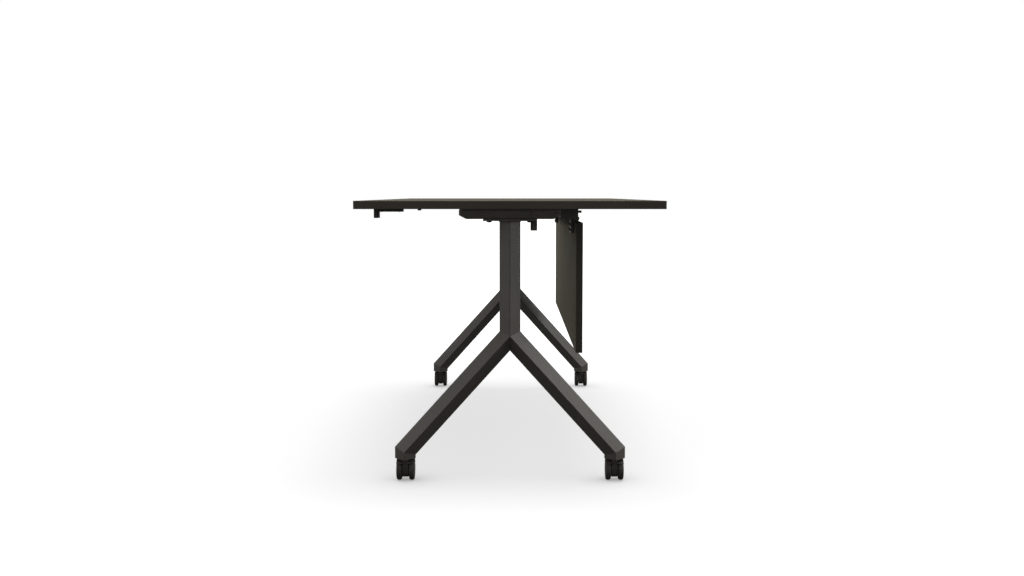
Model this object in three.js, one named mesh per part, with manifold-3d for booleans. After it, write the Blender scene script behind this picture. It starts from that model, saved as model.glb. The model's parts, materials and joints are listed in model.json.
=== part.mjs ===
// Flip-top training table: a board that tips up on two wheeled Y-shaped legs, with a hanging modesty panel.
// Millimetres. +X runs along the table, -Y is the user's side, +Z is up and the floor is Z = 0.
import * as THREE from "three";
import { mergeVertices } from "three/addons/utils/BufferGeometryUtils.js";
import Module from "manifold-3d";

const wasm = await Module();
wasm.setup();

// Fits
const SEAT_GAP = 0.3;
const PIN_CLEARANCE = 0.12;
const SLOT_CLEARANCE = 0.5;
const SWING_CLEARANCE = 1;
const CUT_OVERRUN = 1;

// Top board
const TOP_LENGTH = 1600;
const TOP_DEPTH = 800;
const TABLE_HEIGHT = 745;
const TOP_THICKNESS = 21.2;
const BAND_THICKNESS = 2;

// Legs: square tube turned on edge
const TUBE_SIZE = 40;
const TUBE_WALL = 2;
const TUBE_RADIUS = 3;
const TUBE_CORNER_STEPS = 4;
const LEG_INSET = 75;
const LEG_ANGLE = THREE.MathUtils.degToRad(42);
const FOOT_SPREAD = 279;
const MITRE_TUBE_LENGTHS = 5;
const STUB_LENGTH = 20.2;
const FOOT_PLATE = 4;

// Casters: the wheels trail behind the stem towards -X
const WHEEL_RADIUS = 27.5;
const WHEEL_WIDTH = 14;
const WHEEL_ROUND = 3;
const WHEEL_DISH_RADIUS = 14;
const WHEEL_DISH_DROP = 0.6;
const WHEEL_WEB = 3;
const WHEEL_BODY_GAP = 2.5;
const CASTER_TRAIL = 10;
const CASTER_BODY_WIDTH = 15;
const CASTER_BODY_LIFT = 8;
const CASTER_NECK_HALF = 9;
const CASTER_NECK_DEPTH = 25;
const CASTER_ARC_START = THREE.MathUtils.degToRad(-20);
const CASTER_ARC_END = THREE.MathUtils.degToRad(150);
const HOOD_GAP = 0.8;
const HOOD_WALL = 1.9;
const HOOD_INSET = 0.5;
const HOOD_ARC_START = THREE.MathUtils.degToRad(43);
const HOOD_ARC_END = THREE.MathUtils.degToRad(150);
const FOOT_CLEARANCE = 5.5;
const AXLE_RADIUS = 3;
const STEM_RADIUS = 5.5;
const STEM_PIVOT_RADIUS = 4;
const STEM_PIVOT_LENGTH = 20;
const STEM_COLLAR_RADIUS = 9;
const STEM_COLLAR = 2;
const STEM_RISE = 20;
const STEM_TIP_CHAMFER = 1;

// Stretcher between the posts
const CROSSBAR_DEPTH = 50;
const CROSSBAR_HEIGHT = 30;
const CROSSBAR_WALL = 2;
const CROSSBAR_DROP = 3;

// Flip channel on each leg, and the plate that carries it
const CHANNEL_HALF = 132.5;
const CHANNEL_WIDTH = 70;
const CHANNEL_WALL = 3;
const CHANNEL_CHAMFER_Y = 20;
const CHANNEL_CHAMFER_Z = 10;
const POST_PLATE_LENGTH = 140;
const POST_PLATE_LIP = 2;
const POST_PLATE_THICKNESS = 4.6;

// Flip pivot and tilt bracket
const PIVOT_DROP = 15;
const PIVOT_RADIUS = 4;
const FLANGE_THICKNESS = 3;
const FLANGE_INSET = 1;
const FLANGE_FRONT_MARGIN = 1;
const FLANGE_CORNER = 9;
const FLANGE_REAR_MARGIN = 4;
const EAR_THICKNESS = 4;
const EAR_SIDE_PLAY = 4;
const EAR_RADIUS = 8;
const EAR_ROOT = 16;

// Release shaft, its paddles and hooks, and the bar that each hook holds
const SHAFT_Y = 63.5;
const SHAFT_DROP = 10;
const SHAFT_RADIUS = 4;
const BEARING_WALL = 2;
const PADDLE_DEPTH = 17.6;
const PADDLE_WIDTH = 22;
const PADDLE_LENGTH = 48.6;
const PADDLE_ROUND = 1.2;
const PADDLE_CLEARANCE = 2;
const HOOK_THICKNESS = 8;
const HOOK_HUB_WALL = 1.8;
const HOOK_LIP = 3;
const HOOK_GRIP = 1.5;
const CATCH_RADIUS = 2;
const CATCH_DROP = 1.5;
const CATCH_PLAY = 0.4;
const SHAFT_SLOT_LEAD = 2.5;
const SPRING_WIRE_RADIUS = 0.8;
const SPRING_PLAY = 0.4;
const SPRING_PITCH = 2;
const SPRING_TURNS = 4.25;

// Front pulls and the rods in the board's grooves
const PULL_INSET = 39.5;
const PULL_TAB_DEPTH = 12;
const PULL_TAB_WIDTH = 40;
const PULL_TAB_DROP = 25;
const PULL_TRAVEL = 8;
const TONGUE_LENGTH = 60;
const TONGUE_WIDTH = 28;
const TONGUE_THICKNESS = 3.5;
const GUIDE_WALL = 2;
const GUIDE_END = 4;
const GUIDE_SIDE = 5;
const RISER_DEPTH = 6;
const RISER_WIDTH = 8;
const ROD_RADIUS = 2;
const ROD_RISE = 3.6;
const ROD_HEAD_RADIUS = 3;
const ROD_HEAD_LENGTH = 4;
const FORK_PRONG = 2.4;
const FORK_DEPTH = 4;
const FORK_RISE = 3.4;
const FORK_SIDE_PLAY = 0.5;
const FORK_HEAD_PLAY = 1.5;
const GROOVE_WIDTH = 12;
const GROOVE_DEPTH = 9;
const GROOVE_END_PLAY = 4;

// Modesty panel and its hinges
const PANEL_THICKNESS = 18;
const PANEL_HEIGHT = 349;
const PANEL_END_CLEARANCE = 10;
const PANEL_PIN_Y = 184;
const PANEL_PIN_DROP = 29;
const PANEL_PIN_RADIUS = 3;
const PANEL_PIN_TO_FACE = 8;
const HINGE_INSET = 265;
const HINGE_BLOCK_LENGTH = 49;
const HINGE_BLOCK_REAR = 3.8;
const HINGE_WIDTH = 84;
const HINGE_SKIRT_RISE = 5;
const HINGE_LUG = 8;
const HINGE_LUG_RADIUS = 7;
const KNUCKLE_RADIUS = 6.5;
const LEAF_THICKNESS = 8;
const LEAF_WIDTH = 80;
const LEAF_LENGTH = 32;
const LEAF_ARM = 5;
const STOP_PEG_RADIUS = 3.3;
const STOP_PEG_LENGTH = 11.4;
const STOP_PEG_DROP = 10.5;

// Facets
const PIN_SEGMENTS = 24;
const WHEEL_SEGMENTS = 40;
const ARC_STEPS = 12;
const SPRING_SIDES = 6;
const SPRING_STEPS_PER_TURN = 10;
const MERGE_TOLERANCE = 1e-4;

// Heights and places that follow from the sizes above
const UNDERSIDE = TABLE_HEIGHT - TOP_THICKNESS;
const LEG_X = TOP_LENGTH / 2 - LEG_INSET;
const CASTER_WIDTH = CASTER_BODY_WIDTH + 2 * (WHEEL_BODY_GAP + WHEEL_WIDTH);
const TUBE_HALF_DIAGONAL = TUBE_SIZE * Math.SQRT1_2 - TUBE_RADIUS * (Math.SQRT2 - 1);
const FOOT_BOTTOM = 2 * WHEEL_RADIUS + FOOT_CLEARANCE;
const KNEE_Z = FOOT_BOTTOM + STUB_LENGTH;
const JUNCTION_Z = KNEE_Z + FOOT_SPREAD / Math.tan(LEG_ANGLE);
const CHANNEL_DROP = PIVOT_DROP + EAR_RADIUS + SLOT_CLEARANCE + CHANNEL_WALL;
const CHANNEL_BOTTOM = UNDERSIDE - CHANNEL_DROP;
const POST_PLATE_HALF = CHANNEL_WIDTH / 2 + POST_PLATE_LIP;
const POST_PLATE_TOP = CHANNEL_BOTTOM - SEAT_GAP;
const POST_TOP = POST_PLATE_TOP - POST_PLATE_THICKNESS - SEAT_GAP;
const PIVOT_Z = UNDERSIDE - PIVOT_DROP;
const CHANNEL_REAR_RADIUS = PIVOT_DROP - FLANGE_THICKNESS - 2 * SEAT_GAP;
const PIVOT_Y = CHANNEL_HALF - CHANNEL_REAR_RADIUS;
const CHANNEL_TOP = PIVOT_Z + CHANNEL_REAR_RADIUS;
const FLANGE_TOP = UNDERSIDE - SEAT_GAP;
const FLANGE_BOTTOM = FLANGE_TOP - FLANGE_THICKNESS;
const CHANNEL_INSIDE_HALF = CHANNEL_WIDTH / 2 - CHANNEL_WALL;
const EAR_OUTER = CHANNEL_INSIDE_HALF - EAR_SIDE_PLAY;
const SHAFT_Z = UNDERSIDE - SHAFT_DROP;
const BEARING_RADIUS = SHAFT_RADIUS + BEARING_WALL;
const CATCH_REACH = BEARING_RADIUS + CATCH_RADIUS + SLOT_CLEARANCE;
const CATCH_Y = SHAFT_Y - CATCH_REACH;
const CATCH_Z = SHAFT_Z - CATCH_DROP;
const PADDLE_BOTTOM = SHAFT_Z - PADDLE_LENGTH;
const PULL_X = LEG_X - POST_PLATE_HALF - PADDLE_CLEARANCE - PADDLE_WIDTH / 2;
const PULL_FRONT = PULL_INSET - TOP_DEPTH / 2;
const ROD_Z = UNDERSIDE + ROD_RISE;
const TONGUE_TOP = UNDERSIDE - GUIDE_WALL - 2 * SEAT_GAP;
const TONGUE_BOTTOM = TONGUE_TOP - TONGUE_THICKNESS;
const TONGUE_FRONT = PULL_FRONT + PULL_TAB_DEPTH;
const TONGUE_REAR = TONGUE_FRONT + TONGUE_LENGTH;
const ROD_FRONT = TONGUE_REAR + SEAT_GAP;
const ROD_HEAD_FRONT = SHAFT_Y + FORK_DEPTH / 2 + FORK_HEAD_PLAY;
const PANEL_PIN_Z = UNDERSIDE - PANEL_PIN_DROP;
const PANEL_TOP = PANEL_PIN_Z - HINGE_LUG_RADIUS - SWING_CLEARANCE;
const PANEL_FACE_Y = PANEL_PIN_Y - PANEL_PIN_TO_FACE;
const PANEL_HALF_LENGTH = LEG_X - TUBE_HALF_DIAGONAL - PANEL_END_CLEARANCE;
const HINGE_X = TOP_LENGTH / 2 - HINGE_INSET;
const HINGE_BLOCK_BOTTOM = PANEL_PIN_Z + KNUCKLE_RADIUS + SWING_CLEARANCE;
const LEAF_ARM_BOTTOM = PANEL_TOP + SEAT_GAP;
const LEAF_ARM_TOP = LEAF_ARM_BOTTOM + LEAF_ARM;

const EX = new THREE.Vector3(1, 0, 0);
const EY = new THREE.Vector3(0, 1, 0);
const EZ = new THREE.Vector3(0, 0, 1);
const ENDS = [["left", -1], ["right", 1]];
const SIDES = [["front", -1], ["rear", 1]];

// Finishes
const finish = (color, roughness, metalness) => ({ color, roughness, metalness });
const LAMINATE = finish(0x2b2926, 0.55, 0);
const EDGING = finish(0x272522, 0.5, 0);
const POWDER_COAT = finish(0x3b3a39, 0.5, 0.3);
const DARK_STEEL = finish(0x2c2c2d, 0.4, 0.8);
const ZINC = finish(0x77787a, 0.35, 1);
const MOULDING = finish(0x1d1d1e, 0.55, 0);
const TREAD = finish(0x232323, 0.75, 0);

// Solid modelling helpers
function body(geometry) {
  const bare = geometry.clone();
  bare.deleteAttribute("normal");
  bare.deleteAttribute("uv");
  const merged = mergeVertices(bare, MERGE_TOLERANCE);
  const vertProperties = new Float32Array(merged.attributes.position.array);
  const triVerts = new Uint32Array(merged.index.array);
  return new wasm.Manifold(new wasm.Mesh({ numProp: 3, vertProperties, triVerts }));
}

function surface(solid) {
  const { vertProperties, triVerts, numProp } = solid.getMesh();
  const geometry = new THREE.BufferGeometry();
  geometry.setAttribute("position", new THREE.BufferAttribute(vertProperties, numProp));
  geometry.setIndex(new THREE.BufferAttribute(triVerts, 1));
  geometry.computeVertexNormals();
  return geometry;
}

function carve(base, cuts) {
  return cuts.reduce((rest, cut) => rest.subtract(body(cut)), base);
}

function fuse(geometries) {
  return geometries.map(body).reduce((whole, next) => whole.add(next));
}

function block([x0, x1], [y0, y1], [z0, z1]) {
  const geometry = new THREE.BoxGeometry(x1 - x0, y1 - y0, z1 - z0);
  return geometry.translate((x0 + x1) / 2, (y0 + y1) / 2, (z0 + z1) / 2);
}

function extrude(shape, depth, curveSegments = ARC_STEPS) {
  return new THREE.ExtrudeGeometry(shape, { depth, bevelEnabled: false, curveSegments });
}

// An outline drawn in Y and Z, drawn out along X from x0 to x1
function prismAlongX(shape, x0, x1) {
  const turn = new THREE.Matrix4().makeBasis(EY, EZ, EX);
  return extrude(shape, x1 - x0).applyMatrix4(turn).translate(x0, 0, 0);
}

// An outline drawn in X and Z, drawn out along Y from y0 to y1
function prismAlongY(shape, y0, y1) {
  const turn = new THREE.Matrix4().makeBasis(EX, EZ, EY.clone().negate());
  return extrude(shape, y1 - y0).applyMatrix4(turn).translate(0, y1, 0);
}

function rodAlongX(radius, x0, x1, y, z) {
  const geometry = new THREE.CylinderGeometry(radius, radius, x1 - x0, PIN_SEGMENTS);
  return geometry.rotateZ(-Math.PI / 2).translate((x0 + x1) / 2, y, z);
}

function rodAlongY(radius, y0, y1, x, z) {
  const geometry = new THREE.CylinderGeometry(radius, radius, y1 - y0, PIN_SEGMENTS);
  return geometry.translate(x, (y0 + y1) / 2, z);
}

function rodAlongZ(radius, z0, z1, x, y) {
  const geometry = new THREE.CylinderGeometry(radius, radius, z1 - z0, PIN_SEGMENTS);
  return geometry.rotateX(Math.PI / 2).translate(x, y, (z0 + z1) / 2);
}

function outline(points) {
  return new THREE.Shape(points.map(([u, v]) => new THREE.Vector2(u, v)));
}

function roundedSquare(size, radius) {
  const arm = size / 2 - radius;
  const shape = new THREE.Shape();
  shape.absarc(arm, arm, radius, 0, Math.PI / 2);
  shape.absarc(-arm, arm, radius, Math.PI / 2, Math.PI);
  shape.absarc(-arm, -arm, radius, Math.PI, 1.5 * Math.PI);
  shape.absarc(arm, -arm, radius, 1.5 * Math.PI, 2 * Math.PI);
  return shape;
}

// A square bar turned on edge, along Z from z0 to z1
function diamondBar(size, radius, z0, z1) {
  const bar = extrude(roundedSquare(size, radius), z1 - z0, TUBE_CORNER_STEPS);
  return bar.rotateZ(Math.PI / 4).translate(0, 0, z0);
}

function diamondTube(z0, z1) {
  const shape = roundedSquare(TUBE_SIZE, TUBE_RADIUS);
  shape.holes.push(roundedSquare(TUBE_SIZE - 2 * TUBE_WALL, TUBE_RADIUS - TUBE_WALL));
  return extrude(shape, z1 - z0, TUBE_CORNER_STEPS).rotateZ(Math.PI / 4).translate(0, 0, z0);
}

function addPiece(group, name, geometry, look) {
  const mesh = new THREE.Mesh(geometry, new THREE.MeshStandardMaterial(look));
  mesh.name = name;
  group.add(mesh);
}

function place(parent, x, y, z) {
  const group = new THREE.Group();
  group.position.set(x, y, z);
  parent.add(group);
  return group;
}

// Top board with its edging and the two rod grooves
function grooveCut(x) {
  const half = GROOVE_WIDTH / 2;
  const front = TONGUE_REAR - RISER_DEPTH - PULL_TRAVEL - GROOVE_END_PLAY;
  const rear = ROD_HEAD_FRONT + ROD_HEAD_LENGTH + GROOVE_END_PLAY;
  return block([x - half, x + half], [front, rear], [UNDERSIDE - GROOVE_DEPTH, UNDERSIDE + GROOVE_DEPTH]);
}

function topBoard() {
  const halfLength = TOP_LENGTH / 2 - BAND_THICKNESS;
  const halfDepth = TOP_DEPTH / 2 - BAND_THICKNESS;
  const board = block([-halfLength, halfLength], [-halfDepth, halfDepth], [UNDERSIDE, TABLE_HEIGHT]);
  return surface(carve(body(board), ENDS.map(([, end]) => grooveCut(end * PULL_X))));
}

function edgeBand() {
  const halfLength = TOP_LENGTH / 2;
  const halfDepth = TOP_DEPTH / 2;
  const rectangle = (grow) => [
    [-halfLength - grow, -halfDepth - grow],
    [halfLength + grow, -halfDepth - grow],
    [halfLength + grow, halfDepth + grow],
    [-halfLength - grow, halfDepth + grow],
  ];
  const shape = outline(rectangle(0));
  shape.holes.push(outline(rectangle(-BAND_THICKNESS)));
  return extrude(shape, TOP_THICKNESS).translate(0, 0, UNDERSIDE);
}

// Mitres: the direction of a mitre line in the leg's plane, and its normal
const MITRE = { along: [Math.cos(LEG_ANGLE / 2), Math.sin(LEG_ANGLE / 2)] };
MITRE.across = [Math.sin(LEG_ANGLE / 2), Math.cos(LEG_ANGLE / 2)];
const MITRE_REACH = MITRE_TUBE_LENGTHS * TUBE_SIZE;
const HALF_WELD = SEAT_GAP / 2;

// A point on the front mitre line through [y, z], moved along it and across it, then sent to one side
function mitrePoint([y, z], along, across, side) {
  const u = y - along * MITRE.along[0] + across * MITRE.across[0];
  const v = z + along * MITRE.along[1] + across * MITRE.across[1];
  return [-side * u, v];
}

function trimmed(solid, points) {
  const reach = TUBE_SIZE;
  return surface(solid.intersect(body(prismAlongX(outline(points), -reach, reach))));
}

function post() {
  const root = [0, JUNCTION_Z + HALF_WELD / MITRE.across[1]];
  const left = mitrePoint(root, TUBE_SIZE, 0, -1);
  const right = mitrePoint(root, TUBE_SIZE, 0, 1);
  const points = [root, right, [right[0], POST_TOP], [left[0], POST_TOP], left];
  return trimmed(body(diamondTube(JUNCTION_Z - TUBE_SIZE, POST_TOP + TUBE_SIZE)), points);
}

function diagonal(side) {
  const knee = [-FOOT_SPREAD, KNEE_Z];
  const junction = [0, JUNCTION_Z];
  const span = FOOT_SPREAD / Math.sin(LEG_ANGLE);
  const tube = diamondTube(-TUBE_SIZE, span + TUBE_SIZE);
  tube.rotateX(side * LEG_ANGLE).translate(0, side * FOOT_SPREAD, KNEE_Z);
  const low = mitrePoint(knee, -MITRE_REACH, HALF_WELD, side);
  const middle = [side * HALF_WELD, JUNCTION_Z - HALF_WELD / MITRE.across[1]];
  const points = [
    mitrePoint(knee, MITRE_REACH, HALF_WELD, side),
    low,
    [middle[0], low[1]],
    middle,
    mitrePoint(junction, MITRE_REACH, -HALF_WELD, side),
  ];
  return trimmed(body(tube), points);
}

// Vertical foot: closed below by a plate with the hole for the caster's stem
function foot(side) {
  const knee = [-FOOT_SPREAD, KNEE_Z];
  const top = KNEE_Z + TUBE_SIZE;
  const inner = TUBE_SIZE - 2 * TUBE_WALL;
  const outside = diamondBar(TUBE_SIZE, TUBE_RADIUS, FOOT_BOTTOM, top);
  const inside = diamondBar(inner, TUBE_RADIUS - TUBE_WALL, FOOT_BOTTOM + FOOT_PLATE, top + TUBE_SIZE);
  const hole = rodAlongZ(STEM_RADIUS + PIN_CLEARANCE, FOOT_BOTTOM - FOOT_PLATE, top, 0, 0);
  const shell = carve(body(outside), [inside, hole]).translate([0, side * FOOT_SPREAD, 0]);
  const outer = mitrePoint(knee, TUBE_SIZE, -HALF_WELD, side);
  const innerEnd = mitrePoint(knee, -TUBE_SIZE, -HALF_WELD, side);
  const floor = Math.min(FOOT_BOTTOM, innerEnd[1] - FOOT_PLATE);
  return trimmed(shell, [outer, [outer[0], floor], [innerEnd[0], floor], innerEnd]);
}

function crossbar() {
  const bottom = POST_TOP - CROSSBAR_DROP - CROSSBAR_HEIGHT;
  const section = (inset) => [
    [-CROSSBAR_DEPTH / 2 + inset, bottom + inset],
    [CROSSBAR_DEPTH / 2 - inset, bottom + inset],
    [CROSSBAR_DEPTH / 2 - inset, bottom + CROSSBAR_HEIGHT - inset],
    [-CROSSBAR_DEPTH / 2 + inset, bottom + CROSSBAR_HEIGHT - inset],
  ];
  const shape = outline(section(0));
  shape.holes.push(outline(section(CROSSBAR_WALL)));
  const saddle = TUBE_SIZE + 2 * SEAT_GAP;
  const posts = ENDS.map(([, end]) =>
    diamondBar(saddle, TUBE_RADIUS, bottom - TUBE_SIZE, POST_TOP).translate(end * LEG_X, 0, 0));
  return surface(carve(body(prismAlongX(shape, -LEG_X, LEG_X)), posts));
}

// Flip channel: a pressed tray with an open rear end, round about the pivot
function channelOutline() {
  const shape = new THREE.Shape();
  shape.moveTo(-CHANNEL_HALF, CHANNEL_TOP);
  shape.lineTo(-CHANNEL_HALF, CHANNEL_BOTTOM + CHANNEL_CHAMFER_Z);
  shape.lineTo(-CHANNEL_HALF + CHANNEL_CHAMFER_Y, CHANNEL_BOTTOM);
  shape.lineTo(CHANNEL_HALF - CHANNEL_CHAMFER_Y, CHANNEL_BOTTOM);
  shape.lineTo(CHANNEL_HALF, CHANNEL_BOTTOM + CHANNEL_CHAMFER_Z);
  shape.lineTo(CHANNEL_HALF, PIVOT_Z);
  shape.absarc(PIVOT_Y, PIVOT_Z, CHANNEL_REAR_RADIUS, 0, Math.PI / 2);
  return shape;
}

function channelHollow() {
  const front = -CHANNEL_HALF + CHANNEL_WALL;
  const bottom = CHANNEL_BOTTOM + CHANNEL_WALL;
  const rear = CHANNEL_HALF + CHANNEL_WIDTH;
  const top = UNDERSIDE + CHANNEL_DROP;
  return outline([
    [front, top],
    [front, bottom + CHANNEL_CHAMFER_Z],
    [front + CHANNEL_CHAMFER_Y, bottom],
    [rear, bottom],
    [rear, top],
  ]);
}

function flipChannel(end) {
  const half = CHANNEL_WIDTH / 2;
  const outside = body(prismAlongX(channelOutline(), -half, half));
  const hollow = prismAlongX(channelHollow(), -CHANNEL_INSIDE_HALF, CHANNEL_INSIDE_HALF);
  const pivotHole = rodAlongX(PIVOT_RADIUS + PIN_CLEARANCE, -CHANNEL_WIDTH, CHANNEL_WIDTH, PIVOT_Y, PIVOT_Z);
  const catchHole = rodAlongX(CATCH_RADIUS + PIN_CLEARANCE, -CHANNEL_WIDTH, CHANNEL_WIDTH, CATCH_Y, CATCH_Z);
  const play = SHAFT_RADIUS + SLOT_CLEARANCE;
  const inner = [-end * CHANNEL_WIDTH, -end * CHANNEL_WALL].sort((a, b) => a - b);
  const slotDepth = [SHAFT_Y - play, SHAFT_Y + play + SHAFT_SLOT_LEAD];
  const slot = block(inner, slotDepth, [SHAFT_Z - play, UNDERSIDE]);
  return surface(carve(outside, [hollow, pivotHole, catchHole, slot]));
}

function postPlate() {
  const length = POST_PLATE_LENGTH / 2;
  const height = [POST_PLATE_TOP - POST_PLATE_THICKNESS, POST_PLATE_TOP];
  return block([-POST_PLATE_HALF, POST_PLATE_HALF], [-length, length], height);
}

// Tilt bracket: a flange under the board with two pivot ears and a bearing ear for the release shaft
function earOutline(y, z, radius, root) {
  const shape = new THREE.Shape();
  shape.moveTo(y + radius, FLANGE_TOP);
  shape.lineTo(y - root, FLANGE_TOP);
  shape.lineTo(y - root, FLANGE_BOTTOM - SEAT_GAP);
  shape.lineTo(y - radius, z);
  shape.absarc(y, z, radius, Math.PI, 2 * Math.PI);
  return shape;
}

function tiltBracket(end) {
  const half = CHANNEL_WIDTH / 2 - FLANGE_INSET;
  const front = FLANGE_FRONT_MARGIN - CHANNEL_HALF;
  const rear = PIVOT_Y + EAR_RADIUS + FLANGE_REAR_MARGIN;
  const plate = outline([
    [-half, front + FLANGE_CORNER],
    [-half + FLANGE_CORNER, front],
    [half - FLANGE_CORNER, front],
    [half, front + FLANGE_CORNER],
    [half, rear],
    [-half, rear],
  ]);
  const flange = extrude(plate, FLANGE_THICKNESS).translate(0, 0, FLANGE_BOTTOM);
  const pivotEar = earOutline(PIVOT_Y, PIVOT_Z, EAR_RADIUS, EAR_ROOT);
  const earStarts = [-EAR_OUTER, EAR_OUTER - EAR_THICKNESS];
  const ears = earStarts.map((x) => prismAlongX(pivotEar, x, x + EAR_THICKNESS));
  const bearing = earOutline(SHAFT_Y, SHAFT_Z, BEARING_RADIUS, BEARING_RADIUS);
  const bearingX = end > 0 ? earStarts[0] : earStarts[1];
  ears.push(prismAlongX(bearing, bearingX, bearingX + EAR_THICKNESS));
  const reach = CHANNEL_WIDTH;
  const pivotHole = rodAlongX(PIVOT_RADIUS + PIN_CLEARANCE, -reach, reach, PIVOT_Y, PIVOT_Z);
  const shaftHole = rodAlongX(SHAFT_RADIUS + PIN_CLEARANCE, -reach, reach, SHAFT_Y, SHAFT_Z);
  return surface(carve(fuse([flange, ...ears]), [pivotHole, shaftHole]));
}

function pivotPin() {
  const half = CHANNEL_WIDTH / 2 - SEAT_GAP;
  return rodAlongX(PIVOT_RADIUS, -half, half, PIVOT_Y, PIVOT_Z);
}

function catchBar() {
  const half = CHANNEL_WIDTH / 2 - SEAT_GAP;
  return rodAlongX(CATCH_RADIUS, -half, half, CATCH_Y, CATCH_Z);
}

// Release shaft and the pieces that turn with it
const HOOK_START = EAR_OUTER - EAR_THICKNESS - SWING_CLEARANCE;

function releaseShaft() {
  const half = LEG_X - HOOK_START + HOOK_THICKNESS + SWING_CLEARANCE;
  return rodAlongX(SHAFT_RADIUS, -half, half, SHAFT_Y, SHAFT_Z);
}

function latchHook(end) {
  const start = -end * HOOK_START;
  const [x0, x1] = [start, start + end * HOOK_THICKNESS].sort((a, b) => a - b);
  const lipTop = CATCH_Z - CATCH_RADIUS - CATCH_PLAY;
  const hub = rodAlongX(SHAFT_RADIUS + HOOK_HUB_WALL, x0, x1, SHAFT_Y, SHAFT_Z);
  const lip = block([x0, x1], [CATCH_Y - HOOK_GRIP, SHAFT_Y], [lipTop - HOOK_LIP, lipTop]);
  const bore = rodAlongX(SHAFT_RADIUS + PIN_CLEARANCE, x0 - CUT_OVERRUN, x1 + CUT_OVERRUN, SHAFT_Y, SHAFT_Z);
  return surface(carve(fuse([hub, lip]), [bore]));
}

function releasePaddle() {
  const half = PADDLE_WIDTH / 2;
  const depth = PADDLE_DEPTH / 2;
  const shape = new THREE.Shape();
  shape.moveTo(depth, SHAFT_Z);
  shape.absarc(0, SHAFT_Z, depth, 0, Math.PI);
  shape.lineTo(-depth, PADDLE_BOTTOM + PADDLE_ROUND);
  shape.lineTo(-depth + PADDLE_ROUND, PADDLE_BOTTOM);
  shape.lineTo(depth - PADDLE_ROUND, PADDLE_BOTTOM);
  shape.lineTo(depth, PADDLE_BOTTOM + PADDLE_ROUND);
  const lever = prismAlongX(shape, -half, half).translate(0, SHAFT_Y, 0);
  const slot = ROD_RADIUS + FORK_SIDE_PLAY;
  const forkY = [SHAFT_Y - FORK_DEPTH / 2, SHAFT_Y + FORK_DEPTH / 2];
  const forkZ = [SHAFT_Z, ROD_Z + FORK_RISE];
  const prongs = [-slot - FORK_PRONG, slot].map((x) => block([x, x + FORK_PRONG], forkY, forkZ));
  const bore = rodAlongX(SHAFT_RADIUS + PIN_CLEARANCE, -PADDLE_WIDTH, PADDLE_WIDTH, SHAFT_Y, SHAFT_Z);
  return surface(carve(fuse([lever, ...prongs]), [bore]));
}

// Return spring: a coil wound on the shaft beside the right paddle, its end turned up towards the board
class SpringCoil extends THREE.Curve {
  getPoint(t) {
    const radius = SHAFT_RADIUS + SPRING_PLAY + SPRING_WIRE_RADIUS;
    const turns = t * SPRING_TURNS;
    const angle = 2 * Math.PI * turns;
    return new THREE.Vector3(turns * SPRING_PITCH, radius * Math.cos(angle), radius * Math.sin(angle));
  }
}

function releaseSpring() {
  const section = new THREE.Shape();
  section.absarc(0, 0, SPRING_WIRE_RADIUS, 0, 2 * Math.PI);
  const steps = Math.round(SPRING_TURNS * SPRING_STEPS_PER_TURN);
  const extrudePath = new SpringCoil();
  const coil = new THREE.ExtrudeGeometry(section, { extrudePath, steps, curveSegments: SPRING_SIDES });
  const end = PULL_X - PADDLE_WIDTH / 2 - SWING_CLEARANCE - SPRING_WIRE_RADIUS;
  return coil.translate(end - SPRING_TURNS * SPRING_PITCH, SHAFT_Y, SHAFT_Z);
}

// Front pull: a tab on a tongue that slides in a guide, with a rod back to the release shaft
function pullGuide() {
  const half = TONGUE_WIDTH / 2 + SEAT_GAP;
  const depth = [TONGUE_FRONT + SLOT_CLEARANCE, TONGUE_REAR + GUIDE_END];
  const bottom = TONGUE_BOTTOM - SEAT_GAP;
  const side = half + GUIDE_SIDE;
  const outside = block([-side, side], depth, [bottom - GUIDE_WALL, UNDERSIDE - SEAT_GAP]);
  const through = [depth[0] - CUT_OVERRUN, depth[1] + CUT_OVERRUN];
  const tunnel = block([-half, half], through, [bottom, TONGUE_TOP + SEAT_GAP]);
  const slotHalf = RISER_WIDTH / 2 + SLOT_CLEARANCE;
  const slotFront = TONGUE_REAR - RISER_DEPTH - PULL_TRAVEL - SWING_CLEARANCE;
  const riserSlot = block([-slotHalf, slotHalf], [slotFront, through[1]], [TONGUE_TOP, UNDERSIDE]);
  return surface(carve(body(outside), [tunnel, riserSlot]));
}

function pullTab() {
  const half = PULL_TAB_WIDTH / 2;
  const tongueHalf = TONGUE_WIDTH / 2;
  const riserHalf = RISER_WIDTH / 2;
  const tabHeight = [UNDERSIDE - PULL_TAB_DROP, UNDERSIDE - SLOT_CLEARANCE];
  const tab = block([-half, half], [PULL_FRONT, TONGUE_FRONT], tabHeight);
  const tongue = block([-tongueHalf, tongueHalf], [PULL_FRONT, TONGUE_REAR], [TONGUE_BOTTOM, TONGUE_TOP]);
  const riserDepth = [TONGUE_REAR - RISER_DEPTH, TONGUE_REAR];
  const riser = block([-riserHalf, riserHalf], riserDepth, [TONGUE_BOTTOM, ROD_Z + ROD_HEAD_RADIUS]);
  return surface(fuse([tab, tongue, riser]));
}

function pullRod() {
  const rod = rodAlongY(ROD_RADIUS, ROD_FRONT, ROD_HEAD_FRONT + ROD_HEAD_LENGTH, 0, ROD_Z);
  const head = rodAlongY(ROD_HEAD_RADIUS, ROD_HEAD_FRONT, ROD_HEAD_FRONT + ROD_HEAD_LENGTH, 0, ROD_Z);
  return surface(fuse([rod, head]));
}

// Modesty panel: hangs from two hinges under the board
function modestyPanel() {
  const depth = [PANEL_FACE_Y, PANEL_FACE_Y + PANEL_THICKNESS];
  return block([-PANEL_HALF_LENGTH, PANEL_HALF_LENGTH], depth, [PANEL_TOP - PANEL_HEIGHT, PANEL_TOP]);
}

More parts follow.
